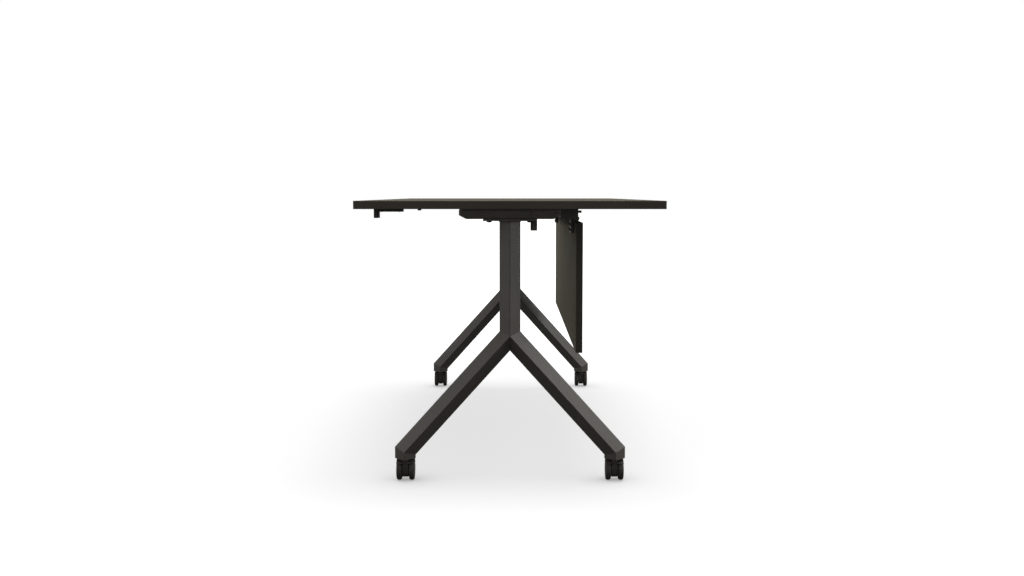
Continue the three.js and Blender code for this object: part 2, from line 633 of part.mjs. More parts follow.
function hingeBase() {
  const half = HINGE_WIDTH / 2;
  const rear = PANEL_PIN_Y + HINGE_BLOCK_REAR;
  const depth = [rear - HINGE_BLOCK_LENGTH, rear];
  const base = block([-half, half], depth, [HINGE_BLOCK_BOTTOM, UNDERSIDE - SEAT_GAP]);
  const skirtRear = PANEL_PIN_Y - KNUCKLE_RADIUS - SWING_CLEARANCE;
  const skirtBottom = LEAF_ARM_TOP + SWING_CLEARANCE;
  const skirt = outline([
    [depth[0], HINGE_BLOCK_BOTTOM + CUT_OVERRUN],
    [depth[0], skirtBottom + HINGE_SKIRT_RISE],
    [PANEL_FACE_Y - LEAF_THICKNESS, skirtBottom],
    [skirtRear, skirtBottom],
    [skirtRear, HINGE_BLOCK_BOTTOM + CUT_OVERRUN],
  ]);
  const lug = new THREE.Shape();
  const neck = Math.acos(Math.min(1, HINGE_BLOCK_REAR / HINGE_LUG_RADIUS));
  lug.moveTo(rear, HINGE_BLOCK_BOTTOM + HINGE_LUG);
  lug.lineTo(skirtRear - SWING_CLEARANCE, HINGE_BLOCK_BOTTOM + HINGE_LUG);
  lug.lineTo(skirtRear - SWING_CLEARANCE, PANEL_PIN_Z);
  lug.absarc(PANEL_PIN_Y, PANEL_PIN_Z, HINGE_LUG_RADIUS, Math.PI, 2 * Math.PI + neck);
  const lugs = [-half, half - HINGE_LUG].map((x) => prismAlongX(lug, x, x + HINGE_LUG));
  const pinHalf = half - HINGE_LUG / 2;
  const pin = rodAlongX(PANEL_PIN_RADIUS, -pinHalf, pinHalf, PANEL_PIN_Y, PANEL_PIN_Z);
  const pegZ = UNDERSIDE - STOP_PEG_DROP;
  const peg = rodAlongY(STOP_PEG_RADIUS, rear - STOP_PEG_LENGTH, rear + STOP_PEG_LENGTH, 0, pegZ);
  return surface(fuse([base, prismAlongX(skirt, -half, half), ...lugs, pin, peg]));
}

function panelLeaf() {
  const half = LEAF_WIDTH / 2;
  const knuckleHalf = HINGE_WIDTH / 2 - HINGE_LUG - SEAT_GAP;
  const face = [PANEL_FACE_Y - LEAF_THICKNESS - SEAT_GAP, PANEL_FACE_Y - SEAT_GAP];
  const plate = block([-half, half], face, [PANEL_TOP - LEAF_LENGTH, LEAF_ARM_BOTTOM + CUT_OVERRUN]);
  const arm = block([-knuckleHalf, knuckleHalf], [face[0], PANEL_PIN_Y], [LEAF_ARM_BOTTOM, LEAF_ARM_TOP]);
  const knuckle = rodAlongX(KNUCKLE_RADIUS, -knuckleHalf, knuckleHalf, PANEL_PIN_Y, PANEL_PIN_Z);
  const reach = HINGE_WIDTH / 2;
  const bore = rodAlongX(PANEL_PIN_RADIUS + PIN_CLEARANCE, -reach, reach, PANEL_PIN_Y, PANEL_PIN_Z);
  return surface(carve(fuse([plate, arm, knuckle]), [bore]));
}

// Casters
function casterStem() {
  const collarTop = FOOT_BOTTOM - SEAT_GAP;
  const collarBottom = collarTop - STEM_COLLAR;
  const tip = collarTop + STEM_RISE;
  const profile = [
    [0, collarBottom - STEM_PIVOT_LENGTH],
    [STEM_PIVOT_RADIUS, collarBottom - STEM_PIVOT_LENGTH],
    [STEM_PIVOT_RADIUS, collarBottom],
    [STEM_COLLAR_RADIUS, collarBottom],
    [STEM_COLLAR_RADIUS, collarTop],
    [STEM_RADIUS, collarTop],
    [STEM_RADIUS, tip - STEM_TIP_CHAMFER],
    [STEM_RADIUS - STEM_TIP_CHAMFER, tip],
    [0, tip],
  ];
  const points = profile.map(([r, z]) => new THREE.Vector2(r, z));
  return new THREE.LatheGeometry(points, PIN_SEGMENTS).rotateX(Math.PI / 2);
}

function casterBody() {
  const neckTop = FOOT_BOTTOM - STEM_COLLAR - 2 * SEAT_GAP;
  const shape = new THREE.Shape();
  shape.moveTo(CASTER_NECK_HALF, neckTop);
  shape.lineTo(CASTER_NECK_HALF, neckTop - CASTER_NECK_DEPTH);
  const belly = WHEEL_RADIUS - CASTER_BODY_LIFT;
  shape.absarc(-CASTER_TRAIL, WHEEL_RADIUS, belly, CASTER_ARC_START, CASTER_ARC_END, true);
  shape.lineTo(-CASTER_NECK_HALF, neckTop);
  const half = CASTER_BODY_WIDTH / 2;
  const hood = new THREE.Shape();
  const hoodInside = WHEEL_RADIUS + HOOD_GAP;
  hood.absarc(-CASTER_TRAIL, WHEEL_RADIUS, hoodInside + HOOD_WALL, HOOD_ARC_START, HOOD_ARC_END);
  hood.absarc(-CASTER_TRAIL, WHEEL_RADIUS, hoodInside, HOOD_ARC_END, HOOD_ARC_START, true);
  const hoodHalf = CASTER_WIDTH / 2 - HOOD_INSET;
  const shell = fuse([prismAlongY(shape, -half, half), prismAlongY(hood, -hoodHalf, hoodHalf)]);
  const boreBottom = neckTop - STEM_PIVOT_LENGTH - SEAT_GAP;
  const stemBore = rodAlongZ(STEM_PIVOT_RADIUS + PIN_CLEARANCE, boreBottom, neckTop + STEM_COLLAR, 0, 0);
  const axleRadius = AXLE_RADIUS + PIN_CLEARANCE;
  const axleBore = rodAlongY(axleRadius, -CASTER_BODY_WIDTH, CASTER_BODY_WIDTH, -CASTER_TRAIL, WHEEL_RADIUS);
  return surface(carve(shell, [stemBore, axleBore]));
}

function casterAxle() {
  const half = CASTER_WIDTH / 2 - WHEEL_WEB - SEAT_GAP;
  return rodAlongY(AXLE_RADIUS, -half, half, -CASTER_TRAIL, WHEEL_RADIUS);
}

function casterWheel(side) {
  const outer = CASTER_WIDTH / 2;
  const inner = outer - WHEEL_WIDTH;
  const bore = AXLE_RADIUS + PIN_CLEARANCE;
  const profile = [
    [0, outer - WHEEL_WEB],
    [bore, outer - WHEEL_WEB],
    [bore, inner],
    [WHEEL_RADIUS - WHEEL_ROUND, inner],
    [WHEEL_RADIUS, inner + WHEEL_ROUND],
    [WHEEL_RADIUS, outer - WHEEL_DISH_DROP - WHEEL_ROUND],
    [WHEEL_RADIUS - WHEEL_ROUND, outer - WHEEL_DISH_DROP],
    [WHEEL_DISH_RADIUS, outer],
    [0, outer],
  ];
  const points = profile.map(([r, y]) => new THREE.Vector2(r, y));
  const wheel = new THREE.LatheGeometry(points, WHEEL_SEGMENTS);
  if (side < 0) {
    wheel.rotateZ(Math.PI);
  }
  return wheel.translate(-CASTER_TRAIL, 0, WHEEL_RADIUS);
}

// Assembly
function addLeg(table, name, end) {
  const leg = place(table, end * LEG_X, 0, 0);
  addPiece(leg, `${name}_post`, post(), POWDER_COAT);
  addPiece(leg, `${name}_post_plate`, postPlate(), POWDER_COAT);
  addPiece(leg, `${name}_flip_channel`, flipChannel(end), DARK_STEEL);
  addPiece(leg, `${name}_pivot_pin`, pivotPin(), ZINC);
  addPiece(leg, `${name}_catch_bar`, catchBar(), ZINC);
  addPiece(leg, `${name}_tilt_bracket`, tiltBracket(end), DARK_STEEL);
  addPiece(leg, `${name}_latch_hook`, latchHook(end), ZINC);
  for (const [sideName, side] of SIDES) {
    addPiece(leg, `${name}_${sideName}_leg`, diagonal(side), POWDER_COAT);
    addPiece(leg, `${name}_${sideName}_foot`, foot(side), POWDER_COAT);
    addCaster(leg, `${name}_${sideName}`, side);
  }
}

function addCaster(leg, name, side) {
  const caster = place(leg, 0, side * FOOT_SPREAD, 0);
  addPiece(caster, `${name}_caster_stem`, casterStem(), ZINC);
  addPiece(caster, `${name}_caster_body`, casterBody(), MOULDING);
  addPiece(caster, `${name}_caster_axle`, casterAxle(), ZINC);
  for (const [wheelName, wheelSide] of SIDES) {
    addPiece(caster, `${name}_caster_${wheelName}_wheel`, casterWheel(wheelSide), TREAD);
  }
}

function addPull(table, name, end) {
  const pull = place(table, end * PULL_X, 0, 0);
  addPiece(pull, `${name}_pull_guide`, pullGuide(), MOULDING);
  addPiece(pull, `${name}_pull_tab`, pullTab(), MOULDING);
  addPiece(pull, `${name}_pull_rod`, pullRod(), ZINC);
  addPiece(pull, `${name}_release_paddle`, releasePaddle(), MOULDING);
}

function addHinge(table, name, end) {
  const hinge = place(table, end * HINGE_X, 0, 0);
  addPiece(hinge, `${name}_hinge_base`, hingeBase(), DARK_STEEL);
  addPiece(hinge, `${name}_hinge_leaf`, panelLeaf(), DARK_STEEL);
}

const table = new THREE.Group();
addPiece(table, "top_board", topBoard(), LAMINATE);
addPiece(table, "edge_band", edgeBand(), EDGING);
addPiece(table, "crossbar", crossbar(), POWDER_COAT);
addPiece(table, "release_shaft", releaseShaft(), ZINC);
addPiece(table, "release_spring", releaseSpring(), ZINC);
addPiece(table, "modesty_panel", modestyPanel(), LAMINATE);
for (const [name, end] of ENDS) {
  addLeg(table, name, end);
  addPull(table, name, end);
  addHinge(table, name, end);
}

export default table;
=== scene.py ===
# Flip-top training table: the looks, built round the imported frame. Sizes are written in millimetres.
import json
import math

import bmesh
import bpy
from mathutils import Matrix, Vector


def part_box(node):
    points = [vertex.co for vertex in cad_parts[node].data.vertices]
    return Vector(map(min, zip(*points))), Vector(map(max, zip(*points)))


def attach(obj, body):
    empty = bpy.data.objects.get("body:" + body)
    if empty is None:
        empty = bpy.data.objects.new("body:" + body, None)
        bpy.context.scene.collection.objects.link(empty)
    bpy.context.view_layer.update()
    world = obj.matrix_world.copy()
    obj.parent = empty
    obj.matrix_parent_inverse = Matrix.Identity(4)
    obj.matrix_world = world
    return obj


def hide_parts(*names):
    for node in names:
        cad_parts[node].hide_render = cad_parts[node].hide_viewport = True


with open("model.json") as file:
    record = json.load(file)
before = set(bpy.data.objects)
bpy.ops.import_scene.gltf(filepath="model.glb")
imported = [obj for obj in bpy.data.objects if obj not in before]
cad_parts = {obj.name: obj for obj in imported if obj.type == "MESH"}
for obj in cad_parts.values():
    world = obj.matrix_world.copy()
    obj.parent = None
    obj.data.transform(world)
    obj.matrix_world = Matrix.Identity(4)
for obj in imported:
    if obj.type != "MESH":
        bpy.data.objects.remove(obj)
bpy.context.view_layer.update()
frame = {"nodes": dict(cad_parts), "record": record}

MM = 0.001
ENDS = (("left", -1), ("right", 1))
SIDES = (("front", -1), ("rear", 1))
BODY_OF = {node: body for body, nodes in frame["record"]["behaviour"]["bodies"].items() for node in nodes}

# Camera, solved from the two ends of the top, the feet and the wheels
CAMERA_PLACE = (3.610, 0.0064, 0.762)
CAMERA_PITCH = math.radians(4.879)
CAMERA_YAW = math.radians(0.0208)
CAMERA_LENS = 38.67
SENSOR_WIDTH = 36.0

# Leg tube, as in the part, but with crisper corners than its 3 mm, as the photograph shows them
TUBE_SIZE = 40.0
TUBE_RADIUS = 1.7
TUBE_CORNER_STEPS = 8
LEG_X = 725.0
LEG_ANGLE = math.radians(42)
FOOT_SPREAD = 279.0
FOOT_BOTTOM = 60.5
KNEE_Z = 80.7
JUNCTION_Z = KNEE_Z + FOOT_SPREAD / math.tan(LEG_ANGLE)
STEM_HOLE_RADIUS = 5.62


# Small helpers

def linear(code):
    """An sRGB hex colour as linear red, green, blue and alpha."""
    parts = [int(code[i:i + 2], 16) / 255 for i in (0, 2, 4)]
    return tuple(p / 12.92 if p <= 0.04045 else ((p + 0.055) / 1.055) ** 2.4 for p in parts) + (1.0,)


def per_mm(size):
    """Texture scale on Object coordinates, in metres, for a pattern of this size in millimetres."""
    return 1000.0 / size


def add(tree, kind, values=None, **settings):
    """One node: its settings, then its inputs by name or number, each a value or another node's output."""
    node = tree.nodes.new(kind)
    for name, value in settings.items():
        setattr(node, name, value)
    for key, value in (values or {}).items():
        if isinstance(value, bpy.types.NodeSocket):
            tree.links.new(value, node.inputs[key])
        else:
            node.inputs[key].default_value = value
    return node


def new_object(name, mesh):
    obj = bpy.data.objects.new(name, mesh)
    bpy.context.scene.collection.objects.link(obj)
    return obj


def to_object(name, shape):
    """A bmesh as a new object at the origin."""
    mesh = bpy.data.meshes.new(name)
    shape.to_mesh(mesh)
    shape.free()
    return new_object(name, mesh)


def apply_modifiers(obj):
    """The object's mesh becomes what its modifiers made of it."""
    graph = bpy.context.evaluated_depsgraph_get()
    solid = obj.evaluated_get(graph)
    mesh = bpy.data.meshes.new_from_object(solid, preserve_all_data_layers=True, depsgraph=graph)
    obj.modifiers.clear()
    obj.data = mesh
    mesh.name = obj.name


def smooth(obj, sharp_angle):
    """Smooth shading with flat faces kept flat: edges over the angle, in degrees, stay sharp."""
    obj.data.polygons.foreach_set("use_smooth", [True] * len(obj.data.polygons))
    obj.data.set_sharp_from_angle(angle=math.radians(sharp_angle))
    weigh = obj.modifiers.new("flat_faces", "WEIGHTED_NORMAL")
    weigh.keep_sharp = True
    apply_modifiers(obj)


def fit(obj, body, slot, *nodes):
    """The finished piece moves with its body and stands for the CAD nodes it replaces, which are hidden; slot is not
    used.
    """
    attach(obj, body)
    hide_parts(*nodes)
    return obj


# Materials

def material(name):
    """A new material with its shader's tree cleared; gives the material, its tree and its coordinates."""
    made = bpy.data.materials.new(name)
    made.use_nodes = True
    tree = made.node_tree
    tree.nodes.clear()
    place = add(tree, "ShaderNodeTexCoord").outputs["Object"]
    return made, tree, place


def two_tones(tree, factor, dark, light):
    mix = add(tree, "ShaderNodeMix", {0: factor, 6: linear(dark), 7: linear(light)}, data_type="RGBA")
    return mix.outputs[2]


def spread(tree, value, low, high, start=0.3, stop=0.7):
    """A noise value drawn out to run from low to high."""
    made = add(tree, "ShaderNodeMapRange", {0: value, 1: start, 2: stop, 3: low, 4: high})
    return made.outputs[0]


def close(tree, values):
    """The shader with these sockets, sent to the output."""
    shader = add(tree, "ShaderNodeBsdfPrincipled", values)
    add(tree, "ShaderNodeOutputMaterial", {"Surface": shader.outputs[0]})


def edge_wear_and_shade(tree, place, colour, other, amount):
    """Colour changed in patches along the rounded edges, which carry the attribute arris: worn edges in most finishes,
    painted shade on the powder coat's edges.
    """
    arris = add(tree, "ShaderNodeAttribute", attribute_name="arris").outputs["Fac"]
    patch = add(tree, "ShaderNodeTexNoise", {"Vector": place, "Scale": per_mm(25), "Detail": 4.0})
    edge_patches = spread(tree, patch.outputs[0], 0.15, 1.0)
    part = add(tree, "ShaderNodeMath", {0: arris, 1: edge_patches}, operation="MULTIPLY")
    part = add(tree, "ShaderNodeMath", {0: part.outputs[0], 1: amount}, operation="MULTIPLY")
    mix = add(tree, "ShaderNodeMix", {0: part.outputs[0], 6: colour, 7: linear(other)}, data_type="RGBA")
    return mix.outputs[2]


def melamine_laminate():
    # Melamine paper pressed on board with a pebbled plate: a matt charcoal with a warm cast, a fine even
    # pebble and a faint cloud in the ink. It turns pale only when it is seen along the surface.
    # The real pebble is 0.4 mm, drawn at 1.6 mm so that it shows.
    made, tree, place = material("charcoal melamine laminate, pressed")
    pebble = add(tree, "ShaderNodeTexVoronoi", {"Vector": place, "Scale": per_mm(1.6)}, feature="SMOOTH_F1")
    cloud = add(tree, "ShaderNodeTexNoise", {"Vector": place, "Scale": per_mm(70), "Detail": 5.0})
    fleck = add(tree, "ShaderNodeTexNoise", {"Vector": place, "Scale": per_mm(2.2), "Detail": 2.0})
    tint = add(tree, "ShaderNodeMath", {0: cloud.outputs[0], 1: fleck.outputs[0]}, operation="MULTIPLY")
    colour = two_tones(tree, spread(tree, tint.outputs[0], 0.0, 1.0, 0.12, 0.4), "494434", "544f3d")
    bump = add(tree, "ShaderNodeBump", {"Strength": 0.25, "Distance": 0.00012, "Height": pebble.outputs[0]})
    close(tree, {
        "Base Color": edge_wear_and_shade(tree, place, colour, "68645a", 0.3),
        "Roughness": spread(tree, cloud.outputs[0], 0.62, 0.74),
        "Specular IOR Level": 0.07,
        "Normal": bump.outputs[0],
    })
    return made


def abs_edging(tone, dark, light):
    # Extruded ABS strip glued to a board's edge: about the laminate's colour, a little smoother, with fine
    # lines along it from the scraper and a thin worn line on the rounded edges.
    made, tree, place = material(f"{tone} ABS edging, extruded and scraped")
    thin = add(tree, "ShaderNodeMapping", {"Vector": place, "Scale": (6.0, 6.0, 900.0)})
    lines = add(tree, "ShaderNodeTexNoise", {"Vector": thin.outputs[0], "Scale": 1.0, "Detail": 3.0})
    cloud = add(tree, "ShaderNodeTexNoise", {"Vector": place, "Scale": per_mm(120), "Detail": 4.0})
    colour = two_tones(tree, spread(tree, cloud.outputs[0], 0.0, 1.0), dark, light)
    bump = add(tree, "ShaderNodeBump", {"Strength": 0.2, "Distance": 0.0001, "Height": lines.outputs[0]})
    close(tree, {
        "Base Color": edge_wear_and_shade(tree, place, colour, "5d5850", 0.4),
        "Roughness": spread(tree, lines.outputs[0], 0.42, 0.56),
        "Specular IOR Level": 0.1,
        "Normal": bump.outputs[0],
    })
    return made


def chipboard_core():
    # Bare chipboard where the grooves are routed: pale brown chips with darker gaps, quite rough.
    made, tree, place = material("chipboard, routed")
    chips = add(tree, "ShaderNodeTexVoronoi", {"Vector": place, "Scale": per_mm(3)})
    grain = add(tree, "ShaderNodeTexNoise", {"Vector": place, "Scale": per_mm(1.5), "Detail": 5.0})
    colour = two_tones(tree, chips.outputs["Distance"], "8a7356", "5b4a37")
    bump = add(tree, "ShaderNodeBump", {"Strength": 0.5, "Distance": 0.0004, "Height": grain.outputs[0]})
    close(tree, {"Base Color": colour, "Roughness": 0.9, "Normal": bump.outputs[0]})
    return made


def powder_coat():
    # Polyester powder baked on steel tube: dark warm grey with a fine orange peel that breaks up the
    # sheen. The rounded edges are painted near black in patches: painted shade, where the corners turn away from the
    # lamps.
    # The real peel is 2 mm across, drawn at 3 mm so that it shows.
    made, tree, place = material("dark grey polyester powder coat, baked on steel")
    peel = add(tree, "ShaderNodeTexNoise", {"Vector": place, "Scale": per_mm(3), "Detail": 2.0})
    grit = add(tree, "ShaderNodeTexNoise", {"Vector": place, "Scale": per_mm(1.1), "Detail": 1.0})
    cloud = add(tree, "ShaderNodeTexNoise", {"Vector": place, "Scale": per_mm(90), "Detail": 4.0})
    tint = add(tree, "ShaderNodeMath", {0: cloud.outputs[0], 1: grit.outputs[0]}, operation="ADD")
    colour = two_tones(tree, spread(tree, tint.outputs[0], 0.0, 1.0, 0.7, 1.3), "3c3731", "47423c")
    both = add(tree, "ShaderNodeMath", {0: peel.outputs[0], 1: grit.outputs[0]}, operation="ADD")
    bump = add(tree, "ShaderNodeBump", {"Strength": 0.3, "Distance": 0.0002, "Height": both.outputs[0]})
    close(tree, {
        # The rounded edges painted near black: painted shade on the tube corners.
        "Base Color": edge_wear_and_shade(tree, place, colour, "1c1a18", 0.9),
        "Roughness": spread(tree, peel.outputs[0], 0.42, 0.54),
        "Specular IOR Level": 0.4,
        "Normal": bump.outputs[0],
    })
    return made


def electrocoat():
    # Dark electrocoat on pressed sheet: a thin, even, warm near-black, with the sheet's fine rolling lines
    # still to be felt and edges where the coat has thinned.
    made, tree, place = material("dark electrocoat on pressed steel sheet")
    stretched = add(tree, "ShaderNodeMapping", {"Vector": place, "Scale": (900.0, 40.0, 900.0)})
    rolled = add(tree, "ShaderNodeTexNoise", {"Vector": stretched.outputs[0], "Scale": 1.0, "Detail": 3.0})
    cloud = add(tree, "ShaderNodeTexNoise", {"Vector": place, "Scale": per_mm(35), "Detail": 4.0})
    colour = two_tones(tree, spread(tree, cloud.outputs[0], 0.0, 1.0), "423d39", "4e4944")
    bump = add(tree, "ShaderNodeBump", {"Strength": 0.15, "Distance": 0.0001, "Height": rolled.outputs[0]})
    close(tree, {
        "Base Color": edge_wear_and_shade(tree, place, colour, "5f5b57", 0.5),
        "Metallic": 0.15,
        "Roughness": spread(tree, rolled.outputs[0], 0.36, 0.5),
        "Specular IOR Level": 0.35,
        "Normal": bump.outputs[0],
    })
    return made


def zinc_plate():
    # Zinc plate with a clear passivate: a cool grey metal, dulled in cloudy patches, with fine drawn lines.
    made, tree, place = material("zinc plate, clear passivated")
    cloud = add(tree, "ShaderNodeTexNoise", {"Vector": place, "Scale": per_mm(12), "Detail": 6.0})
    scratch = add(tree, "ShaderNodeMapping", {"Vector": place, "Scale": (60.0, 1400.0, 1400.0)})
    drawn = add(tree, "ShaderNodeTexNoise", {"Vector": scratch.outputs[0], "Scale": 1.0, "Detail": 2.0})
    colour = two_tones(tree, spread(tree, cloud.outputs[0], 0.0, 1.0), "85888b", "a9abab")
    bump = add(tree, "ShaderNodeBump", {"Strength": 0.12, "Distance": 0.0001, "Height": drawn.outputs[0]})
    close(tree, {
        "Base Color": colour,
        "Metallic": 1.0,
        "Roughness": spread(tree, cloud.outputs[0], 0.28, 0.46),
        "Normal": bump.outputs[0],
    })
    return made


def black_oxide():
    # Blackened screw heads: oxide over steel, oily black with a low metal sheen.
    made, tree, place = material("black oxide on steel screws")
    cloud = add(tree, "ShaderNodeTexNoise", {"Vector": place, "Scale": per_mm(4), "Detail": 4.0})
    colour = two_tones(tree, spread(tree, cloud.outputs[0], 0.0, 1.0), "171616", "262524")
    close(tree, {
        "Base Color": colour,
        "Metallic": 0.6,
        "Roughness": spread(tree, cloud.outputs[0], 0.3, 0.45),
    })
    return made


def glass_filled_nylon(tone, dark, light):
    # Glass-filled nylon, moulded in a spark-eroded tool: a fine matt grain, faint flow marks and
    # slightly polished edges. The real grain is 0.3 mm, drawn at 1.2 mm so that it shows.
    made, tree, place = material(f"{tone} glass-filled nylon, moulded")
    grain = add(tree, "ShaderNodeTexVoronoi", {"Vector": place, "Scale": per_mm(1.2)}, feature="SMOOTH_F1")
    flow = add(tree, "ShaderNodeTexNoise", {"Vector": place, "Scale": per_mm(18), "Detail": 3.0, "Distortion": 1.5})
    colour = two_tones(tree, spread(tree, flow.outputs[0], 0.0, 1.0), dark, light)
    bump = add(tree, "ShaderNodeBump", {"Strength": 0.3, "Distance": 0.0001, "Height": grain.outputs[0]})
    close(tree, {
        "Base Color": edge_wear_and_shade(tree, place, colour, "4c4946", 0.35),
        "Roughness": spread(tree, flow.outputs[0], 0.44, 0.56),
        "Specular IOR Level": 0.25,
        "Normal": bump.outputs[0],
    })
    return made


def polyurethane_tread():
    # Polyurethane tread moulded round the wheel: near black, duller than the hub, dusty where it rolls.
    made, tree, place = material("dark polyurethane tread, moulded")
    dust = add(tree, "ShaderNodeTexNoise", {"Vector": place, "Scale": per_mm(9), "Detail": 6.0})
    skin = add(tree, "ShaderNodeTexNoise", {"Vector": place, "Scale": per_mm(1.0), "Detail": 2.0})
    colour = two_tones(tree, spread(tree, dust.outputs[0], 0.0, 1.0), "2d2b28", "3b3834")
    bump = add(tree, "ShaderNodeBump", {"Strength": 0.25, "Distance": 0.0001, "Height": skin.outputs[0]})
    close(tree, {
        "Base Color": colour,
        "Roughness": spread(tree, dust.outputs[0], 0.55, 0.75),
        "Specular IOR Level": 0.25,
        "Normal": bump.outputs[0],
    })
    return made


LAMINATE = melamine_laminate()
EDGING = abs_edging("charcoal", "423e37", "49453e")
# A darker copy of the edging for the modesty panel: painted shade, for the panel's ends under the top.
SHADED_PANEL_EDGING = abs_edging("black-brown", "38342f", "3e3a35")
CORE = chipboard_core()
POWDER = powder_coat()
ECOAT = electrocoat()
ZINC = zinc_plate()
OXIDE = black_oxide()
NYLON = glass_filled_nylon("black", "353230", "413e3a")
# A lighter copy of the black nylon for the release paddles: painted light, for the paddles hanging in the top's shade.
LIGHTENED_LEVER_NYLON = glass_filled_nylon("dark grey", "544f4b", "605b57")
TREAD = polyurethane_tread()


# Pieces from the CAD shapes

def merged(node):
    """A node's shape with its loose triangles joined and its flat faces made whole."""
    shape = bmesh.new()
    shape.from_mesh(frame["nodes"][node].data)
    bmesh.ops.remove_doubles(shape, verts=shape.verts, dist=0.004 * MM)
    bmesh.ops.dissolve_limit(shape, angle_limit=math.radians(0.5), verts=shape.verts, edges=shape.edges)
    return shape


def round_edges(obj, radius, finish, angle=35, steps=2):
    """Rounds the edges sharper than the angle, and marks the rounded faces: worn in most finishes, darkened as painted
    shade in the powder coat.
    """
    obj.data.materials.clear()
    obj.data.materials.append(finish)
    obj.data.materials.append(finish)
    for face in obj.data.polygons:
        face.material_index = 0
    bevel = obj.modifiers.new("round", "BEVEL")
    bevel.limit_method = "ANGLE"
    bevel.angle_limit = math.radians(angle)
    bevel.width = radius * MM
    bevel.segments = steps
    bevel.material = 1
    bevel.use_clamp_overlap = True
    apply_modifiers(obj)
    mark = obj.data.attributes.new("arris", "FLOAT", "FACE")
    mark.data.foreach_set("value", [float(face.material_index) for face in obj.data.polygons])
    for face in obj.data.polygons:
        face.material_index = 0
    obj.data.materials.pop(index=1)


def dressed(node, word, radius, finish, slot, shape=None, steps=2):
    """A CAD node made again with rounded edges and smooth curves."""
    obj = to_object(f"{node}_{word}", shape or merged(node))
    round_edges(obj, radius, finish, steps=steps)
    smooth(obj, 40)
    return fit(obj, BODY_OF[node], slot, node)


# Board and panel

BAND_ARRIS = 1.2
BAND_STEPS = 4
BAND_CORNER_STEPS = 6
BAND_WIDTH = 2.0


def top_board():
    """The laminated board, with bare core in the two grooves routed for the rods."""
    obj = to_object("top_board_laminated", merged("top_board"))
    obj.data.materials.clear()
    obj.data.materials.append(LAMINATE)
    obj.data.materials.append(CORE)
    low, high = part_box("top_board")
    skin = 0.1 * MM
    for face in obj.data.polygons:
        at = face.center
        inside = all(low[i] + skin < at[i] < high[i] - skin for i in range(3))
        face.material_index = 1 if inside else 0
    return fit(obj, "tabletop", "charcoal_laminate", "top_board")


def band_profile(bottom, top):
    """The strip's section as (outwards, height), with its two outer edges rounded."""
    turn = [i * math.pi / 2 / BAND_STEPS for i in range(BAND_STEPS + 1)]
    reach = BAND_WIDTH - BAND_ARRIS
    lower = [(reach + BAND_ARRIS * math.sin(a), bottom + BAND_ARRIS * (1 - math.cos(a))) for a in turn]
    upper = [(out, top + bottom - height) for out, height in reversed(lower)]
    return [(0.0, bottom)] + lower + upper + [(0.0, top)]


def edge_band():
    """One strip round the board, turned about the board's corners."""
    low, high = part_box("edge_band")
    inset = BAND_WIDTH * MM
    section = band_profile(low.z / MM, high.z / MM)
    corners = ((1, 1, 0), (-1, 1, 90), (-1, -1, 180), (1, -1, 270))
    shape = bmesh.new()
    rings = []
    for sx, sy, start in corners:
        x = (high.x - inset) * sx
        y = (high.y - inset) * sy
        for step in range(BAND_CORNER_STEPS + 1):
            a = math.radians(start + 90 * step / BAND_CORNER_STEPS)
            ring = [shape.verts.new((x + out * MM * math.cos(a), y + out * MM * math.sin(a), z * MM)) for out, z in section]
            rings.append(ring)
    for ring, after in zip(rings, rings[1:] + rings[:1]):
        for i in range(len(section)):
            j = (i + 1) % len(section)
            shape.faces.new((ring[i], after[i], after[j], ring[j]))
    bmesh.ops.remove_doubles(shape, verts=shape.verts, dist=0.001 * MM)
    bmesh.ops.recalc_face_normals(shape, faces=shape.faces)
    obj = to_object("edge_band_strip", shape)
    obj.data.materials.append(EDGING)
    mark = obj.data.attributes.new("arris", "FLOAT", "FACE")
    mark.data.foreach_set("value", [float(0.1 < abs(face.normal.z) < 0.95) for face in obj.data.polygons])
    smooth(obj, 40)
    return fit(obj, "tabletop", "edge_banding", "edge_band")


def modesty_panel():
    """The hanging panel: laminated faces, and edging on its four edges."""
    obj = to_object("modesty_panel_board", merged("modesty_panel"))
    round_edges(obj, 0.9, LAMINATE, steps=3)
    obj.data.materials.append(SHADED_PANEL_EDGING)
    for face in obj.data.polygons:
        face.material_index = 0 if abs(face.normal.y) > 0.9 else 1
    smooth(obj, 40)
    return fit(obj, "panel", "charcoal_laminate", "modesty_panel")


# Welded legs and stretcher

def diamond_ring():
    """The tube's outline on edge, as (across X, across the leg's plane), with rounded corners."""
    reach = (TUBE_SIZE / 2 - TUBE_RADIUS) * math.sqrt(2)
    ring = []
    for corner in range(4):
        centre = corner * math.pi / 2
        for step in range(TUBE_CORNER_STEPS + 1):
            a = centre + (step / TUBE_CORNER_STEPS - 0.5) * math.pi / 2
            u = reach * math.cos(centre) + TUBE_RADIUS * math.cos(a)
            v = reach * math.sin(centre) + TUBE_RADIUS * math.sin(a)
            ring.append((u, v if abs(v) > 1e-9 else 0.0))
    return ring


RING = diamond_ring()


def along(v, origin, axis, across, point, normal):
    """Where the tube's line at v across meets a plane: (y, z) in the leg's plane."""
    y = origin[0] + v * across[0]
    z = origin[1] + v * across[1]
    step = ((point[0] - y) * normal[0] + (point[1] - z) * normal[1]) / (axis[0] * normal[0] + axis[1] * normal[1])
    return y + step * axis[0], z + step * axis[1]


SIN, COS = math.sin(LEG_ANGLE), math.cos(LEG_ANGLE)
MITRE_NORMAL = (-math.sin(LEG_ANGLE / 2), math.cos(LEG_ANGLE / 2))
LEVEL = (0.0, 1.0)
UPRIGHT = (1.0, 0.0)
KNEE = (FOOT_SPREAD, KNEE_Z)
JUNCTION = (0.0, JUNCTION_Z)


